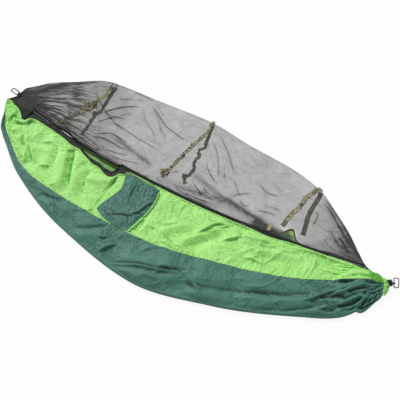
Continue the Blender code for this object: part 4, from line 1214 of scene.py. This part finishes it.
v = np.linspace(0, 1, 7)[None, :]
far_coil = net_lip_y(zx)
y = (far_coil + 0.0004)[:, None] * (1 - v) + (far_coil + 0.0134)[:, None] * v
x = np.repeat(zx[:, None], 7, 1)
upper = np.stack([x, y, COIL_Z - 0.0002 + 0.0003 * noise(x / 0.03, y / 0.02, 92)], -1)[:, ::-1]
seam_path = np.stack([zx, far_coil + 0.0109, np.full_like(zx, COIL_Z + 0.0016)], -1)
join_pieces("zip_tape_upper", [strip(upper, 0.0007), zip_coil(far_coil, teeth[::-1]), sewn(seam_path, 2)],
            [ZIP_TAPE, ZIP_COIL, BLACK_THREAD], "hammock", ["zip_tape_net"])

# Rolled hem of the light green panel above the zip's tape, with its stitching
hx = np.linspace(-MAIN_X, MAIN_X, 900)
wave = 0.0012 * noise(hx / 0.035, hx * 0 + 3, 93) + 0.0006 * noise(hx / 0.011, hx * 0, 94)
slope = np.gradient(near_line(hx), hx)
lean = 1 / np.sqrt(1 + slope ** 2)
centre_y = near_line(hx) - 0.0042 * (1 + 0.3 * (1 - lean)) + wave
v = np.linspace(-1, 1, 9)[None, :]
half = 0.0038 + 0.0006 * noise(hx / 0.05, hx * 0 + 7, 95)
gx = hx[:, None] - (slope * lean)[:, None] * v * half[:, None]
gy = centre_y[:, None] + lean[:, None] * v * half[:, None]
hem_z = 0.0412 + 0.0016 * np.sqrt(np.clip(1 - v ** 2, 0, 1)) + 0.0009 * noise(gx / 0.02, gy / 0.02, 96)
hem_grid = np.stack([gx, gy, hem_z], -1)[:, ::-1]
edge_seam = np.stack([hx, centre_y - 0.0022, hem_z[:, 2] + 0.0008], -1)
join_pieces("near_panel_hem", [strip(hem_grid, 0.0012), sewn(edge_seam, 1)], [LIGHT, LIGHT_THREAD], "hammock")

# Felled seam between the two near panels: a raised strip and two rows of stitching
row = near[2 * FAN_ROWS:-2 * FAN_ROWS, SEAM_COLUMN]
_, side, _ = frames_along(row)
side[:, 2] = 0
v = np.linspace(-1, 1, 5)[None, :, None]
raised = row[:, None] + side[:, None] * v * 0.0042
raised[..., 2] += (0.0007 + 0.0006 * (1 - v[..., 0] ** 2)
                   + 0.0004 * noise(raised[..., 0] / 0.012, raised[..., 1] / 0.012, 97))
parts = [strip(raised[:, ::-1], 0.0009)]
for off in (-0.0028, 0.0028):
    parts.append(sewn(row + side * off + np.array((0, 0, 0.0018)), 1))
join_pieces("panel_seam", parts, [LIGHT, DARK_THREAD], "hammock")


# Camouflage tapes, ridge loops and webbing
WHITE, BLACK = (1, 1, 1, 1), (0, 0, 0, 1)


def camouflage(name, pale, middle, dark):
    """Woven tape printed with soft blotches, in plain leaf and earth tones."""
    k = Look(name, 0.85)
    uv = k.place("UV")
    big = k.noise(uv, 27.0, 2.0, 1.2, 0.5)
    small = k.noise(uv, 62.0, 2.0, 0.8, 0.5)
    pale, middle, dark = [linear(*colour) for colour in (pale, middle, dark)]
    first = k.ramp(big, [(0.0, middle), (0.47, middle), (0.50, pale), (1.0, pale)])
    spots = k.ramp(small, [(0.0, WHITE), (0.42, WHITE), (0.45, BLACK), (1.0, BLACK)])
    colour = k.mix(spots, first, dark)
    rib = k.wave(uv, 420.0, "X")
    weft = k.wave(uv, 300.0, "Y")
    threads = k.maths("MULTIPLY", rib, weft)
    fuzz = k.noise(uv, 300.0, 2.0)
    colour = k.mix(1.0, colour, k.ramp(fuzz, [(0.3, (0.82, 0.82, 0.80, 1)), (0.7, (1, 1, 1, 1))]), "MULTIPLY")
    # Painted shade: troughs of ruffles and folds of crumpled tape darken towards a dark khaki
    colour = k.mix(k.maths("MULTIPLY", k.attribute("painted_shade_and_layers"), 0.6), colour, linear(34, 34, 26))
    k.set("Base Color", colour)
    k.set("Normal", k.bump(threads, 0.0003, 0.6))
    return k.mat


CAMO_NEAR = camouflage("camouflage_tape_near", (172, 168, 136), (128, 124, 96), (78, 75, 56))
CAMO_FAR = camouflage("camouflage_tape_far", (184, 178, 140), (112, 107, 78), (34, 32, 22))
CAMO_LOOP = camouflage("camouflage_tape_loop", (128, 122, 92), (92, 86, 62), (50, 46, 34))
WEBBING_LOOK = woven("tan_webbing", (170, 164, 130), (124, 118, 92), 0.85, 420.0)
CAMO_THREAD = thread_look("khaki_thread", (120, 116, 84))

# Name, centre line on the floor, half width, height and length of the ruffles, roll, near net or not
TAPES = (
    ("canopy_tape_near_1", mm(-822, 500, -806, 450, -808, 387, -824, 335, -832, 278, -848, 236, -860, 196,
     -891, 150, -905, 108, -906, 66),
     0.0195, 0.004, 0.0145, 0.9, True),
    ("canopy_tape_near_2", mm(-106, 582, -98, 514, -106, 438, -122, 360, -133, 275, -140, 226, -141, 170,
     -150, 130, -160, 95, -150, 62),
     0.015, 0.0034, 0.026, 0.7, True),
    ("canopy_tape_near_3", mm(676, 486, 658, 433, 644, 394, 645, 353, 638, 292, 628, 257, 621, 197, 617,
     141),
     0.015, 0.0012, 0.05, 0.25, True),
    ("canopy_tape_far_1", mm(-795, 505, -790, 472, -781, 399, -774, 333, -767, 292, -788, 266, -780, 230,
     -773, 166, -770, 116, -764, 82),
     0.015, 0.004, 0.03, 0.6, False),
    ("canopy_tape_far_2", mm(-104, 570, -84, 507, -69, 438, -56, 397, -77, 370, -55, 326, -60, 283, -38,
     240, -34, 183, -58, 152, -22, 116),
     0.0135, 0.004, 0.026, 0.6, False),
    ("canopy_tape_far_3", mm(700, 480, 708, 444, 706, 370, 709, 312, 719, 260, 733, 204, 740, 168),
     0.015, 0.001, 0.05, 0.12, False),
)


def net_top(x, y):
    base, t = net_height(x, y)
    return base + net_relief(x, y, t)


def tape(name, points, half, ruffle, period, roll, near_side, seed):
    path = resample(points, 0.0022)
    n = len(path)
    s = np.linspace(0, 1, n) * 0.0022 * (n - 1)
    t = np.gradient(path, axis=0)
    t /= np.linalg.norm(t, axis=1, keepdims=True)
    side = np.stack([-t[:, 1], t[:, 0]], -1)
    crumpled = ruffle > 0.002
    wander = (0.0055 if crumpled else 0.0010) * noise(s / 0.032, s * 0 + seed, seed)
    path = path + side * wander[:, None]
    v = np.linspace(-1, 1, 9)[None, :]
    phase = s / period + 0.35 * noise(s / 0.03, s * 0, seed + 1)
    ends = ease(np.minimum(s, s[-1] - s) / 0.02)
    pinched = 0.45 + 0.9 * noise(s / 0.040, s * 0 + 1, seed + 2) + 0.5 * noise(s / 0.014, s * 0 + 1, seed + 6)
    width = half * (1 - (0.50 if crumpled else 0.10) * ends * np.clip(pinched, 0, 1))
    fray = 0.0022 if crumpled else 0.0004
    ragged = fray * noise((s / 0.009)[:, None], 1.5 * v, seed + 7) * np.abs(v) ** 2
    tilt = roll * ends * noise(s / 0.05, s * 0 + 2, seed + 3)
    ripple = np.sin(2 * np.pi * (phase[:, None] + 0.22 * v))
    wave = ruffle * ends[:, None] * ripple * (0.55 + 0.45 * np.abs(v))
    wave = wave + 0.4 * ruffle * ends[:, None] * noise((s / 0.008)[:, None], v * 2.5, seed + 4)
    flat = v * width[:, None] + ragged
    gx = path[:, :1] + side[:, :1] * flat * np.cos(tilt)[:, None] + t[:, :1] * wave * 0.5
    gy = path[:, 1:2] + side[:, 1:2] * flat * np.cos(tilt)[:, None] + t[:, 1:2] * wave * 0.5
    lift = wave + flat * np.sin(tilt)[:, None]
    if near_side:
        base = net_top(gx, gy) + 0.0022
        z = base + np.maximum(lift - lift.min(1, keepdims=True) * 0.6, 0) * 0.8
        z = np.clip(z, 0.0045, 0.0605)
    else:
        z = 0.0005 + 0.0002 * (lift / (abs(lift).max() + 1e-9) + 1)
    grid = np.stack([gx, gy, z], -1)
    # Painted shade in the troughs of the ruffles
    painted_shade_and_layers = np.clip(-lift / (ruffle + 0.001), 0, 1) * (0.8 if ruffle > 0.001 else 0.3)
    mat = CAMO_NEAR if near_side else CAMO_FAR
    ring, faces = slab(grid, 0.0009 if near_side else 0.0006)
    uv = np.stack(np.broadcast_arrays(s[:, None], both_sides(v) * half), -1)
    rings, painted_shade = [ring.reshape(-1, 3)], [both_sides(painted_shade_and_layers).ravel()]
    uvs, faces = [uv.reshape(-1, 2)], list(faces)
    for at, size, count in KNOTS.get(name[:-6], ()):
        for ring, ring_faces, ring_uv in bunch_of_tape(path[int(at * (n - 1))], size, count, near_side, seed):
            start = sum(len(a) for a in rings)
            faces += [[start + k for k in face] for face in ring_faces]
            rings.append(ring.reshape(-1, 3))
            uvs.append(ring_uv.reshape(-1, 2))
            # Painted shade: alternate folds of a crumpled clump are darker
            painted_shade.append(np.full(len(rings[-1]), 0.25 + 0.5 * (len(rings) % 2)))
    return make_mesh(name, np.concatenate(rings), faces, mat, "hammock", [name[:-6]], np.concatenate(uvs),
                     attrs={"painted_shade_and_layers": np.concatenate(painted_shade)})


# Where a tape lies crumpled up: share along it, size of the clump, how many folds it has
KNOTS = {
    "canopy_tape_near_1": ((0.53, 0.042, 14), (0.43, 0.026, 6), (0.95, 0.026, 8)),
    "canopy_tape_near_2": ((0.93, 0.028, 9), (0.60, 0.013, 3)),
    "canopy_tape_near_3": ((0.45, 0.011, 2),),
    "canopy_tape_far_1": ((0.58, 0.020, 5), (0.72, 0.014, 3)),
    "canopy_tape_far_2": ((0.88, 0.024, 7), (0.42, 0.012, 3)),
    "canopy_tape_far_3": ((0.95, 0.012, 2),),
}


def bunch_of_tape(middle, size, count, near_side, seed):
    """Short arched folds of tape across each other."""
    r = np.random.RandomState(seed + int(1000 * size))
    out = []
    for k in range(count):
        angle = np.pi * (k / count + 0.15 * r.randn())
        way = np.array((math.cos(angle), math.sin(angle)))
        across = np.array((-way[1], way[0]))
        place = middle[:2] + r.uniform(-0.35, 0.35, 2) * size
        u = np.linspace(-1, 1, 15)[:, None]
        v = np.linspace(-1, 1, 5)[None, :]
        reach = size * r.uniform(0.55, 1.0)
        width = 0.0065 * (1 - 0.55 * u ** 4)
        bend = size * r.uniform(-0.5, 0.5) * (1 - u ** 2)
        gx = place[0] + way[0] * u * reach + across[0] * (v * width + bend)
        gy = place[1] + way[1] * u * reach + across[1] * (v * width + bend)
        arch = (1 - u ** 2) * r.uniform(0.3, 1.0) + 0 * v
        if near_side:
            gz = net_top(gx, gy) + 0.0030 + 0.0075 * arch + 0.0022 * v * r.choice((-1, 1))
            gz = np.clip(gz, 0.0045, TOP_Z)
        else:
            gz = 0.0006 + 0.0006 * arch
        ring, faces = slab(np.stack([gx, gy, gz], -1), 0.0009 if near_side else 0.0005)
        uv = np.stack(np.broadcast_arrays(u * reach + k, both_sides(v) * 0.0065), -1)
        out.append((ring, faces, uv))
    return out


for i, (name, points, half, ruffle, period, roll, near_side) in enumerate(TAPES):
    tape(name + "_cloth", points, half, ruffle, period, roll, near_side, 200 + 10 * i)

# Loops of tape on the ridge: middle, half size along the ridge and away from it
LOOPS = (
    ((-0.8105, 0.5100), 0.0215, 0.0235),
    ((-0.106, 0.5900), 0.0100, 0.0110),
    ((0.690, 0.4950), 0.0180, 0.0090),
)
for i, (eye, half_along, half_away) in enumerate(LOOPS):
    slope = (ridge_y(eye[0] + 0.01) - ridge_y(eye[0] - 0.01)) / 0.02
    away = np.array((-slope, 1.0)) / math.hypot(slope, 1.0)
    along = np.array((away[1], -away[0]))
    a = np.linspace(0, 2 * np.pi, 48, endpoint=False)[:, None]
    ring = np.linspace(0, 2 * np.pi, 10, endpoint=False)[None, :]
    corner = 1 / np.maximum(np.abs(np.cos(a)), np.abs(np.sin(a))) ** 0.4
    thick = 0.0040 * (1 + 0.25 * noise(a * 1.3, ring * 0, 330 + i))
    gx = np.cos(a) * (half_along * corner - 0.0040 + thick * np.cos(ring))
    gy = np.sin(a) * (half_away * corner - 0.0040 + thick * np.cos(ring))
    uneven = 1 + 0.15 * noise(a * 2, ring * 0, 330 + i)
    gz = 0.0032 + 0.0018 * np.sin(ring) * uneven + 0.0004 * noise(a * 1.5, ring, 340 + i)
    grid = np.stack([eye[0] + along[0] * gx + away[0] * gy, eye[1] + along[1] * gx + away[1] * gy, gz], -1)
    name = "ridge_loop_%d" % (i + 1)
    make_mesh(name + "_tape", grid, closed_faces(48, 10), CAMO_LOOP, "hammock", [name], grid[..., :2],
              attrs={"painted_shade_and_layers": np.full(gx.shape, 0.2)})

# Short webbing end sewn above the zip, on the net
TAB_X, TAB_WIDTH, TAB_LENGTH = 0.562, 0.022, 0.044
tab_low = net_edge_y(TAB_X + 0.011, 0.016) + 0.0012
d = np.linspace(0, TAB_LENGTH, 24)[:, None]
v = np.linspace(-1, 1, 9)[None, :]
gx = TAB_X - 0.14 * d + v * TAB_WIDTH / 2
gy = tab_low + d + 0.14 * v * TAB_WIDTH / 2
gz = net_top(gx, gy) + 0.0048 + 0.0010 * np.sin(np.pi * d / TAB_LENGTH)
gz = gz + 0.0006 * noise(gx / 0.012, gy / 0.02, 301)
ring, ring_faces = slab(np.stack([gx, gy, gz], -1)[:, ::-1], 0.0015)
parts = [(ring, ring_faces, 0, np.stack(np.broadcast_arrays(d, both_sides(v) * 0.011), -1))]
for at in (0.0035, 0.0075):
    k = int(at / TAB_LENGTH * 23)
    row = np.stack([np.interp(np.linspace(-0.85, 0.85, 12), v[0], gx[k]), np.full(12, tab_low + at),
                    np.full(12, gz[k].max() + 0.0010)], -1)
    parts.append(sewn(row, 1))
join_pieces("webbing_end", parts, [WEBBING_LOOK, CAMO_THREAD], "hammock", ["webbing_tab"])

# Binding along the far long seam
bx = np.linspace(-1.19, 1.13, 500)
v = np.linspace(-1, 1, 5)[None, :]
gy = far_edge_y(bx)[:, None] + v * 0.0065
gx = np.repeat(bx[:, None], 5, 1)
gz = 0.0052 + 0.0008 * (1 - v ** 2) + 0.0007 * noise(gx / 0.02, gy / 0.02, 305)
BINDING = woven("seam_binding", (78, 76, 68), (56, 54, 48), 0.85)
seam_path = np.stack([bx, far_edge_y(bx) - 0.003, np.full_like(bx, 0.0068)], -1)
parts = [strip(np.stack([gx, gy, gz], -1)[:, ::-1], 0.0010), sewn(seam_path, 1)]
join_pieces("far_seam_binding", parts, [BINDING, DARK_THREAD], "hammock", ["far_edge_binding"])


# Stuff sack
SACK_LEFT = mm(-358, -18.5, -331, -80, -318, -128, -333, -192, -356, -262, -366, -316)
SACK_RIGHT = mm(-120, -18.5, -102, -85, -97, -150, -104, -225, -118, -285, -130, -346)
SACK_FOLDS = chains(3, (
    (-318, -24, -266, -65, -258, -146, -252, -213, -264, -252, 8.5, 34, 14),
    (-262, -100, -240, -176, -236, -250, 4, 18, 8),
    (-100, -90, -128, -150, -150, -215, -190, -260, 6.5, 10, 30),
    (-330, -288, -288, -300, -246, -314, 4.5, 10, 14),
    (-340, -300, -300, -290, -262, -290, 3, 10, 10),
    (-311, -318, -270, -296, -201, -263, -130, -240, 4, 16, 12),
    (-208, -30, -186, -90, -165, -150, 2.2, 12, 10),
    (-151, -22, -138, -70, -128, -115, 2.2, 10, 8),
    (-180, -26, -168, -70, -160, -110, 1.8, 10, 8),
    (-335, -60, -318, -130, -322, -200, 3, 16, 14),
))


def sack_grid(rows, columns, top=0.0):
    left, right = smooth_chain(SACK_LEFT, 200), smooth_chain(SACK_RIGHT, 200)
    s = np.linspace(top, 1, rows) * 199
    a = np.stack([np.interp(s, np.arange(200), left[:, i]) for i in (0, 1)], -1)
    b = np.stack([np.interp(s, np.arange(200), right[:, i]) for i in (0, 1)], -1)
    v = np.linspace(0, 1, columns)[None, :, None]
    out = a[:, None] * (1 - v) + b[:, None] * v
    out[..., 1] -= 0.024 * (s / 199)[:, None] ** 3 * np.sin(np.pi * v[..., 0]) ** 0.8
    return out


rows, columns = ((80, 70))
flat = sack_grid(rows, columns, 0.012)
x, y = flat[..., 0], flat[..., 1]
s, c = np.linspace(0, 1, rows)[:, None], np.linspace(0, 1, columns)[None, :]
rim = np.minimum(np.minimum(c, 1 - c) * 0.26, (1 - s) * 0.30)
puff = 0.0050 * ease(rim / 0.045)
relief = 0.0016 * noise(x / 0.06, y / 0.09, 401) + 0.0008 * noise(x / 0.018, y / 0.03, 402)
for points, height, left, right in SACK_FOLDS:
    relief = relief + fold(x, y, points, 1.25 * height, 0.7 * left, 0.7 * right, 0.25)
gathers = np.sin(2 * np.pi * (x / 0.0135 + 0.5 * noise(x / 0.03, y / 0.03, 403)))
pulled = 0.0012 * np.exp(-(s / 0.10) ** 2) * gathers
z = 0.0436 + puff + (relief * (0.35 + 0.65 * ease(rim / 0.02)) + pulled)
grid = np.stack([x, y, z], -1)
grid = settle(grid, 0.020, 12)
grid = refine(grid)
grid[..., 2] = np.clip(grid[..., 2], 0.0430, 0.0595)
# Painted shade in the hollows of the sack's front
front_painted_shade = 1.2 * painted_hollow_shade(grid[..., 2], 4, 0.0012)
ring, faces = slab(grid, 0.0008)
make_mesh("sack_front_cloth", ring, faces, DARK, "sack", ["sack_front"], ring[..., :2],
          attrs={"painted_shade_and_layers": both_sides(front_painted_shade)})

back = sack_grid(60, 50)
x, y = back[..., 0], back[..., 1]
back_z = 0.0417 + 0.0003 * noise(x / 0.02, y / 0.02, 405)
ring, faces = slab(np.stack([x, y, back_z], -1), 0.0008)
make_mesh("sack_back_cloth", ring, faces, LIGHT, "sack", ["sack_back"], ring[..., :2],
          attrs={"painted_shade_and_layers": np.zeros(ring.shape[:2])})


def ruffle(path, width, amplitude, period, seed):
    """A gathered seam allowance standing out from the sack's edge, with painted shade in the troughs of its
    gathers.
    """
    p = resample(path, 0.0012)
    n = len(p)
    s = np.arange(n) * 0.0012
    t = np.gradient(p, axis=0)
    t /= np.linalg.norm(t, axis=1, keepdims=True)
    side = np.stack([t[:, 1], -t[:, 0]], -1)
    v = np.linspace(0, 1, 7)[None, :]
    ends = ease(np.minimum(s, s[-1] - s) / 0.010)[:, None]
    phase = (2 * np.pi * (s / period + 0.6 * noise(s / 0.02, s * 0, seed)))[:, None]
    w = width * (0.75 + 0.45 * noise(s / 0.016, s * 0 + 4, seed + 1))[:, None] * (0.3 + 0.7 * ends)
    gx = p[:, :1] + side[:, :1] * w * v + t[:, :1] * amplitude * 0.6 * v * np.cos(phase)
    gy = p[:, 1:2] + side[:, 1:2] * w * v + t[:, 1:2] * amplitude * 0.6 * v * np.cos(phase)
    gz = 0.0438 + 0.0006 * (1 - v) + ends * amplitude * v * (0.6 + 0.6 * np.sin(phase))
    # Painted shade in the troughs of the gathers
    painted_shade = np.clip(-np.sin(phase) * (0.3 + v), 0, 1) * 1.1
    return np.stack([gx, gy, gz], -1), painted_shade


# Path, width, height and length of the ruffles
EDGES = (
    (mm(-347.5, -38) + SACK_LEFT[1:4], 0.0045, 0.0014, 0.022),
    (SACK_LEFT[3:], 0.0028, 0.0010, 0.020),
    (mm(-366, -316, -290, -343, -215, -350, -130, -346), 0.0008, 0.0004, 0.018),
    (SACK_RIGHT[:2:-1], 0.0210, 0.0085, 0.0125),
    (SACK_RIGHT[3:0:-1] + mm(-114, -38), 0.0125, 0.0060, 0.0125),
)
parts, shaded = [], []
for i, (path, width, amplitude, period) in enumerate(EDGES):
    grid, painted_shade = ruffle(path, width, amplitude, period, 410 + 5 * i)
    parts.append(strip(grid[:, ::-1], 0.0008))
    shaded.append(both_sides(painted_shade[:, ::-1]).ravel())
allowance = join_pieces("sack_seam_allowance", parts, [LIGHT], "sack")
allowance.data.attributes["painted_shade_and_layers"].data.foreach_set("value", np.concatenate(shaded).astype(np.float32))

# Hem of the mouth: a folded band with two rows of stitches
row = sack_grid(60, 90)[1]
v = np.linspace(-1, 1, 7)[None, :]
gx = np.repeat(row[:, :1], 7, 1)
gy = row[:, 1:2] - 0.0055 + v * 0.0060 + 0.0012 * noise(gx / 0.03, gx * 0, 431)
gz = 0.0452 + 0.0018 * np.sqrt(1 - 0.9 * v ** 2) + 0.0012 * noise(gx / 0.012, gy / 0.03, 432)
parts = [strip(np.stack([gx, gy, gz], -1)[:, ::-1], 0.0009)]
for off, rise in ((-0.0085, 0.0002), (-0.0035, 0.0006)):
    path = np.stack([row[2:-2, 0], row[2:-2, 1] + off, gz[2:-2, 3] + rise], -1)
    parts.append(sewn(path, 1, 0.0036, 0.0030, 0.00045))
join_pieces("sack_mouth_hem", parts, [DARK, LIGHT_THREAD], "sack")

# The length of drawcord that lies on the mouth's hem
CORD = woven("black_cord", (26, 28, 28), (12, 13, 13), 0.8, 1500.0)
cord_points = ((-0.345, -0.0110, 0.0472), (-0.300, -0.0095, 0.0490), (-0.245, -0.0090, 0.0500),
               (-0.200, -0.0095, 0.0494), (-0.160, -0.0110, 0.0478))
tube_piece("sack_drawcord_line", resample(cord_points, 0.002), 0.0011, CORD, "sack", ["sack_drawcord"])


# Ends, as in the part: neck, direction, turns, the knot's radius and its distance to the loop's bar
ROPE_ENDS = {-1: ((-1.269, 0.116), 145.0, 5, 0.0155, 0.0125), 1: ((1.275, 0.130), 36.0, 6, 0.0195, 0.0145)}


def end_frame(end):
    """Place, direction away from the hammock and sideways direction of a knot."""
    middle, turn = ROPE_ENDS[end][0], math.radians(ROPE_ENDS[end][1])
    return (np.array((middle[0], middle[1], 0.0)), np.array((math.cos(turn), math.sin(turn), 0.0)),
            np.array((-math.sin(turn), math.cos(turn), 0.0)))


def braid(name, base, pale):
    k = Look(name, 0.7)
    uv = k.place("UV")
    a = k.wave(uv, 420.0, "DIAGONAL")
    b = k.wave(k.place("UV", (1, -1, 1)), 420.0, "DIAGONAL")
    cross = k.maths("MAXIMUM", a, b)
    fuzz = k.noise(uv, 300.0, 2.0)
    k.set("Base Color", k.mix(k.maths("MULTIPLY", cross, fuzz), linear(*base), linear(*pale)))
    k.set("Normal", k.bump(cross, 0.0005, 0.9))
    return k.mat


ROPE = braid("black_rope", (20, 21, 22), (62, 64, 66))


def metal(name, colour, rough):
    k = Look(name, rough, metal=1.0)
    where = k.place("Object")
    brushed = k.noise(where, 900.0, 3.0, 0.4)
    smudge = k.noise(where, 60.0, 4.0, 0.5)
    k.set("Base Color", k.mix(smudge, linear(*colour), linear(*[0.82 * c for c in colour])))
    k.set("Roughness", k.value(smudge, rough - 0.06, rough + 0.14, 0.3, 0.7))
    k.set("Normal", k.bump(brushed, 0.00004, 0.4))
    return k.mat


STEEL = metal("plated_steel", (104, 106, 110), 0.30)
DARK_STEEL = metal("dark_steel", (34, 35, 37), 0.42)
PIN_STEEL = metal("pin_steel", (168, 170, 174), 0.30)
METALS = (
    (PIN_STEEL, ("gate_pin_left", "gate_pin_right")),
    (DARK_STEEL, ("slider_left", "slider_right", "slider_left_pull_tab", "slider_right_pull_tab",
                  "carabiner_left", "carabiner_gate_left")),
    (STEEL, ("zip_stop_left", "zip_stop_right", "carabiner_right", "carabiner_gate_right")),
)
for look, names in METALS:
    for name in names:
        for slot in bpy.data.objects[name].material_slots:
            slot.material = look


def winding(name, end, replaces):
    """Rope wound side by side round the sleeve's end."""
    middle, out, side = end_frame(end)
    turns, knot = ROPE_ENDS[end][2:4]
    radius = 0.00245
    a = np.linspace(0, 2 * np.pi * (turns - 0.25), 44 * turns)
    u = 0.0003 + radius + (a / (2 * np.pi)) * 2 * radius
    loose = 0.0007 * noise(a / 1.7, a * 0, 501 + end)
    r = knot - radius - 0.0004 + loose
    p = middle + out * u[:, None] + side * (r * np.cos(a))[:, None]
    p[:, 2] = np.maximum(0.0006 + knot + r * np.sin(a), radius + 0.0006)
    return tube_piece(name, p, radius, ROPE, "hammock", replaces, 10, up=tuple(out))


def core(name, end):
    """The bunched cloth and rope inside the winding."""
    middle, out, side = end_frame(end)
    turns, knot = ROPE_ENDS[end][2:4]
    length = turns * 0.005
    s = np.linspace(0, 1, 9)
    path = middle + out * (-0.004 + (length + 0.006) * s)[:, None]
    path[:, 2] = 0.0006 + knot
    r = (knot - 0.0042) * np.sqrt(np.clip(1 - (2 * s - 1) ** 8, 0.02, 1))
    ring = np.linspace(0, 2 * np.pi, 30, endpoint=False)
    g = path[:, None] + (r[:, None] * np.cos(ring))[..., None] * side
    g = g + (r[:, None] * np.sin(ring))[..., None] * np.array((0, 0, 1.0))
    uv = np.stack(np.meshgrid(s * length, ring * knot, indexing="ij"), -1)
    return make_mesh(name, g, capped(len(s), 30), ROPE, "hammock", [], uv)


def rope_ring(name, end, replaces):
    middle, out, side = end_frame(end)
    radius = 0.0024
    turns, _, reach = ROPE_ENDS[end][2:]
    start = 0.0003 + turns * 0.005 + 0.0003 + 0.0025
    finish = 0.0003 + turns * 0.005 + reach + 0.0065 + 0.0025
    r = 0.0036 + 0.0025
    q = np.linspace(0, np.pi, 15)
    u = np.r_[finish - r + r * np.sin(q), start + r - r * np.sin(q)]
    z = np.r_[0.0095 - r * np.cos(q), 0.0095 + r * np.cos(q)]
    path = middle + out * u[:, None]
    path[:, 2] = z
    return tube_piece(name, path, radius, ROPE, "hammock", replaces, 10, up=tuple(side), closed=True)


SIDES = (("left", -1), ("right", 1))
for word, end in SIDES:
    winding("rope_winding_%s_cord" % word, end, ["rope_winding_" + word])
for word, end in SIDES:
    rope_ring("rope_loop_%s_cord" % word, end, ["rope_loop_" + word])
for word, end in SIDES:
    core("knot_core_" + word, end)


def scrunched(name, path, radii, flatten, period, depth, seed, replaces):
    """A sleeve drawn together on its rope: ruffles that run round it, close together, with painted shade in
    their troughs.
    """
    path = resample(path, 0.0007)
    n = len(path)
    s = np.arange(n) * 0.0007
    share = (s / s[-1])[:, None]
    sides = 84
    a = np.linspace(0, 2 * np.pi, sides, endpoint=False)[None, :]
    r = np.interp(share, np.linspace(0, 1, len(radii)), radii)
    c, d = np.cos(a), np.sin(a)
    wander = 0.9 * noise(c * 1.6 + seed, d * 1.6 + share * 3, seed)
    wander = wander + 0.45 * noise(c * 4.0, d * 4.0 + share * 6, seed + 1)
    phase = s[:, None] / period + wander + 0.7 * noise(share * 5, a * 0, seed + 2)
    wave = np.abs(((phase % 1) - 0.5) * 2) ** 0.7
    swell = 0.85 + 0.30 * noise(c * 1.2, share * 7 + d * 1.2, seed + 3)
    rr = r * swell * (1 - depth * wave * (0.7 + 0.6 * noise(phase * 0.5, a * 0.8, seed + 4)))
    t, side, top = frames_along(path)
    g = path[:, None] + side[:, None] * (rr * c)[..., None] + top[:, None] * (rr * flatten * d)[..., None]
    g = g + (0.0035 * wave * noise(c * 2, d * 2 + share * 4, seed + 5))[..., None] * t[:, None]
    g[..., 2] = np.clip(g[..., 2], 0.0012, TOP_Z)
    uv = np.stack(np.meshgrid(s, np.linspace(0, 2 * np.pi, sides) * r.mean(), indexing="ij"), -1)
    # Painted shade in the troughs of the ruffles
    return make_mesh(name, g, capped(n, sides), LIGHT, "hammock", replaces, uv,
                     attrs={"painted_shade_and_layers": np.clip(wave * 1.3 - 0.45, -0.2, 0.9)})


scrunched("end_sleeve_left",
          ((-1.240, 0.034, 0.026), (-1.275, 0.040, 0.028), (-1.305, 0.048, 0.026), (-1.326, 0.058, 0.020)),
          (0.012, 0.020, 0.021, 0.011), 0.75, 0.0085, 0.42, 521, ["gather_left"])
scrunched("end_sleeve_right",
          ((1.252, 0.146, 0.028), (1.268, 0.132, 0.028), (1.284, 0.104, 0.026), (1.290, 0.080, 0.024),
           (1.292, 0.058, 0.018)),
          (0.009, 0.019, 0.021, 0.018, 0.009), 0.80, 0.0085, 0.45, 531, ["gather_right"])

# Black rope that leaves the left sleeve's lower end and runs along the net to the knot
outer_rope = resample(((-1.315, 0.053, 0.033), (-1.304, 0.066, 0.035), (-1.293, 0.080, 0.035),
                       (-1.282, 0.096, 0.033), (-1.272, 0.114, 0.027)), 0.002)
tube_piece("rope_from_left_sleeve", outer_rope, 0.0030, ROPE, "hammock", [], 10)


# Floor and light
def floor_nodes(tree):
    """A pale floor that shows plain white to the camera and in reflections."""
    shader = tree.nodes["Principled BSDF"]
    shader.inputs["Base Color"].default_value = (0.97, 0.97, 0.97, 1)
    shader.inputs["Roughness"].default_value = 0.9
    glow = tree.nodes.new("ShaderNodeEmission")
    glow.inputs["Color"].default_value = (1, 1, 1, 1)
    path = tree.nodes.new("ShaderNodeLightPath")
    mix = tree.nodes.new("ShaderNodeMixShader")
    share = tree.nodes.new("ShaderNodeMath")
    share.operation = "MULTIPLY"
    share.inputs[1].default_value = 0.90
    seen = tree.nodes.new("ShaderNodeMath")
    seen.operation = "MAXIMUM"
    tree.links.new(path.outputs["Is Camera Ray"], seen.inputs[0])
    tree.links.new(path.outputs["Is Glossy Ray"], seen.inputs[1])
    tree.links.new(seen.outputs[0], share.inputs[0])
    tree.links.new(share.outputs[0], mix.inputs[0])
    tree.links.new(shader.outputs[0], mix.inputs[1])
    tree.links.new(glow.outputs[0], mix.inputs[2])
    tree.links.new(mix.outputs[0], tree.nodes["Material Output"].inputs["Surface"])


floor_mesh = bpy.data.meshes.new("floor")
floor_mesh.from_pydata([(-14, -14, 0), (14, -14, 0), (14, 14, 0), (-14, 14, 0)], [], [(0, 1, 2, 3)])
floor_look = bpy.data.materials.new("floor")
floor_look.use_nodes = True
floor_nodes(floor_look.node_tree)
floor_mesh.materials.append(floor_look)
floor = bpy.data.objects.new("floor", floor_mesh)
scene.collection.objects.link(floor)
floor.location.z = -0.0003

world = bpy.data.worlds.new("world")
scene.world = world
world.use_nodes = True
sky = world.node_tree.nodes["Background"]
sky.inputs["Color"].default_value = (1, 1, 1, 1)
sky_path = world.node_tree.nodes.new("ShaderNodeLightPath")
sky_seen = world.node_tree.nodes.new("ShaderNodeMapRange")
sky_seen.inputs["To Min"].default_value = 0.36
world.node_tree.links.new(sky_path.outputs["Is Camera Ray"], sky_seen.inputs["Value"])
world.node_tree.links.new(sky_seen.outputs["Result"], sky.inputs["Strength"])

sun_data = bpy.data.lights.new("key", "SUN")
sun_data.energy = 2.4
sun_data.angle = math.radians(16)
sun = bpy.data.objects.new("key", sun_data)
scene.collection.objects.link(sun)
sun.rotation_euler = (-Vector((-0.90, 0.42, 0.88))).to_track_quat("-Z", "Y").to_euler()
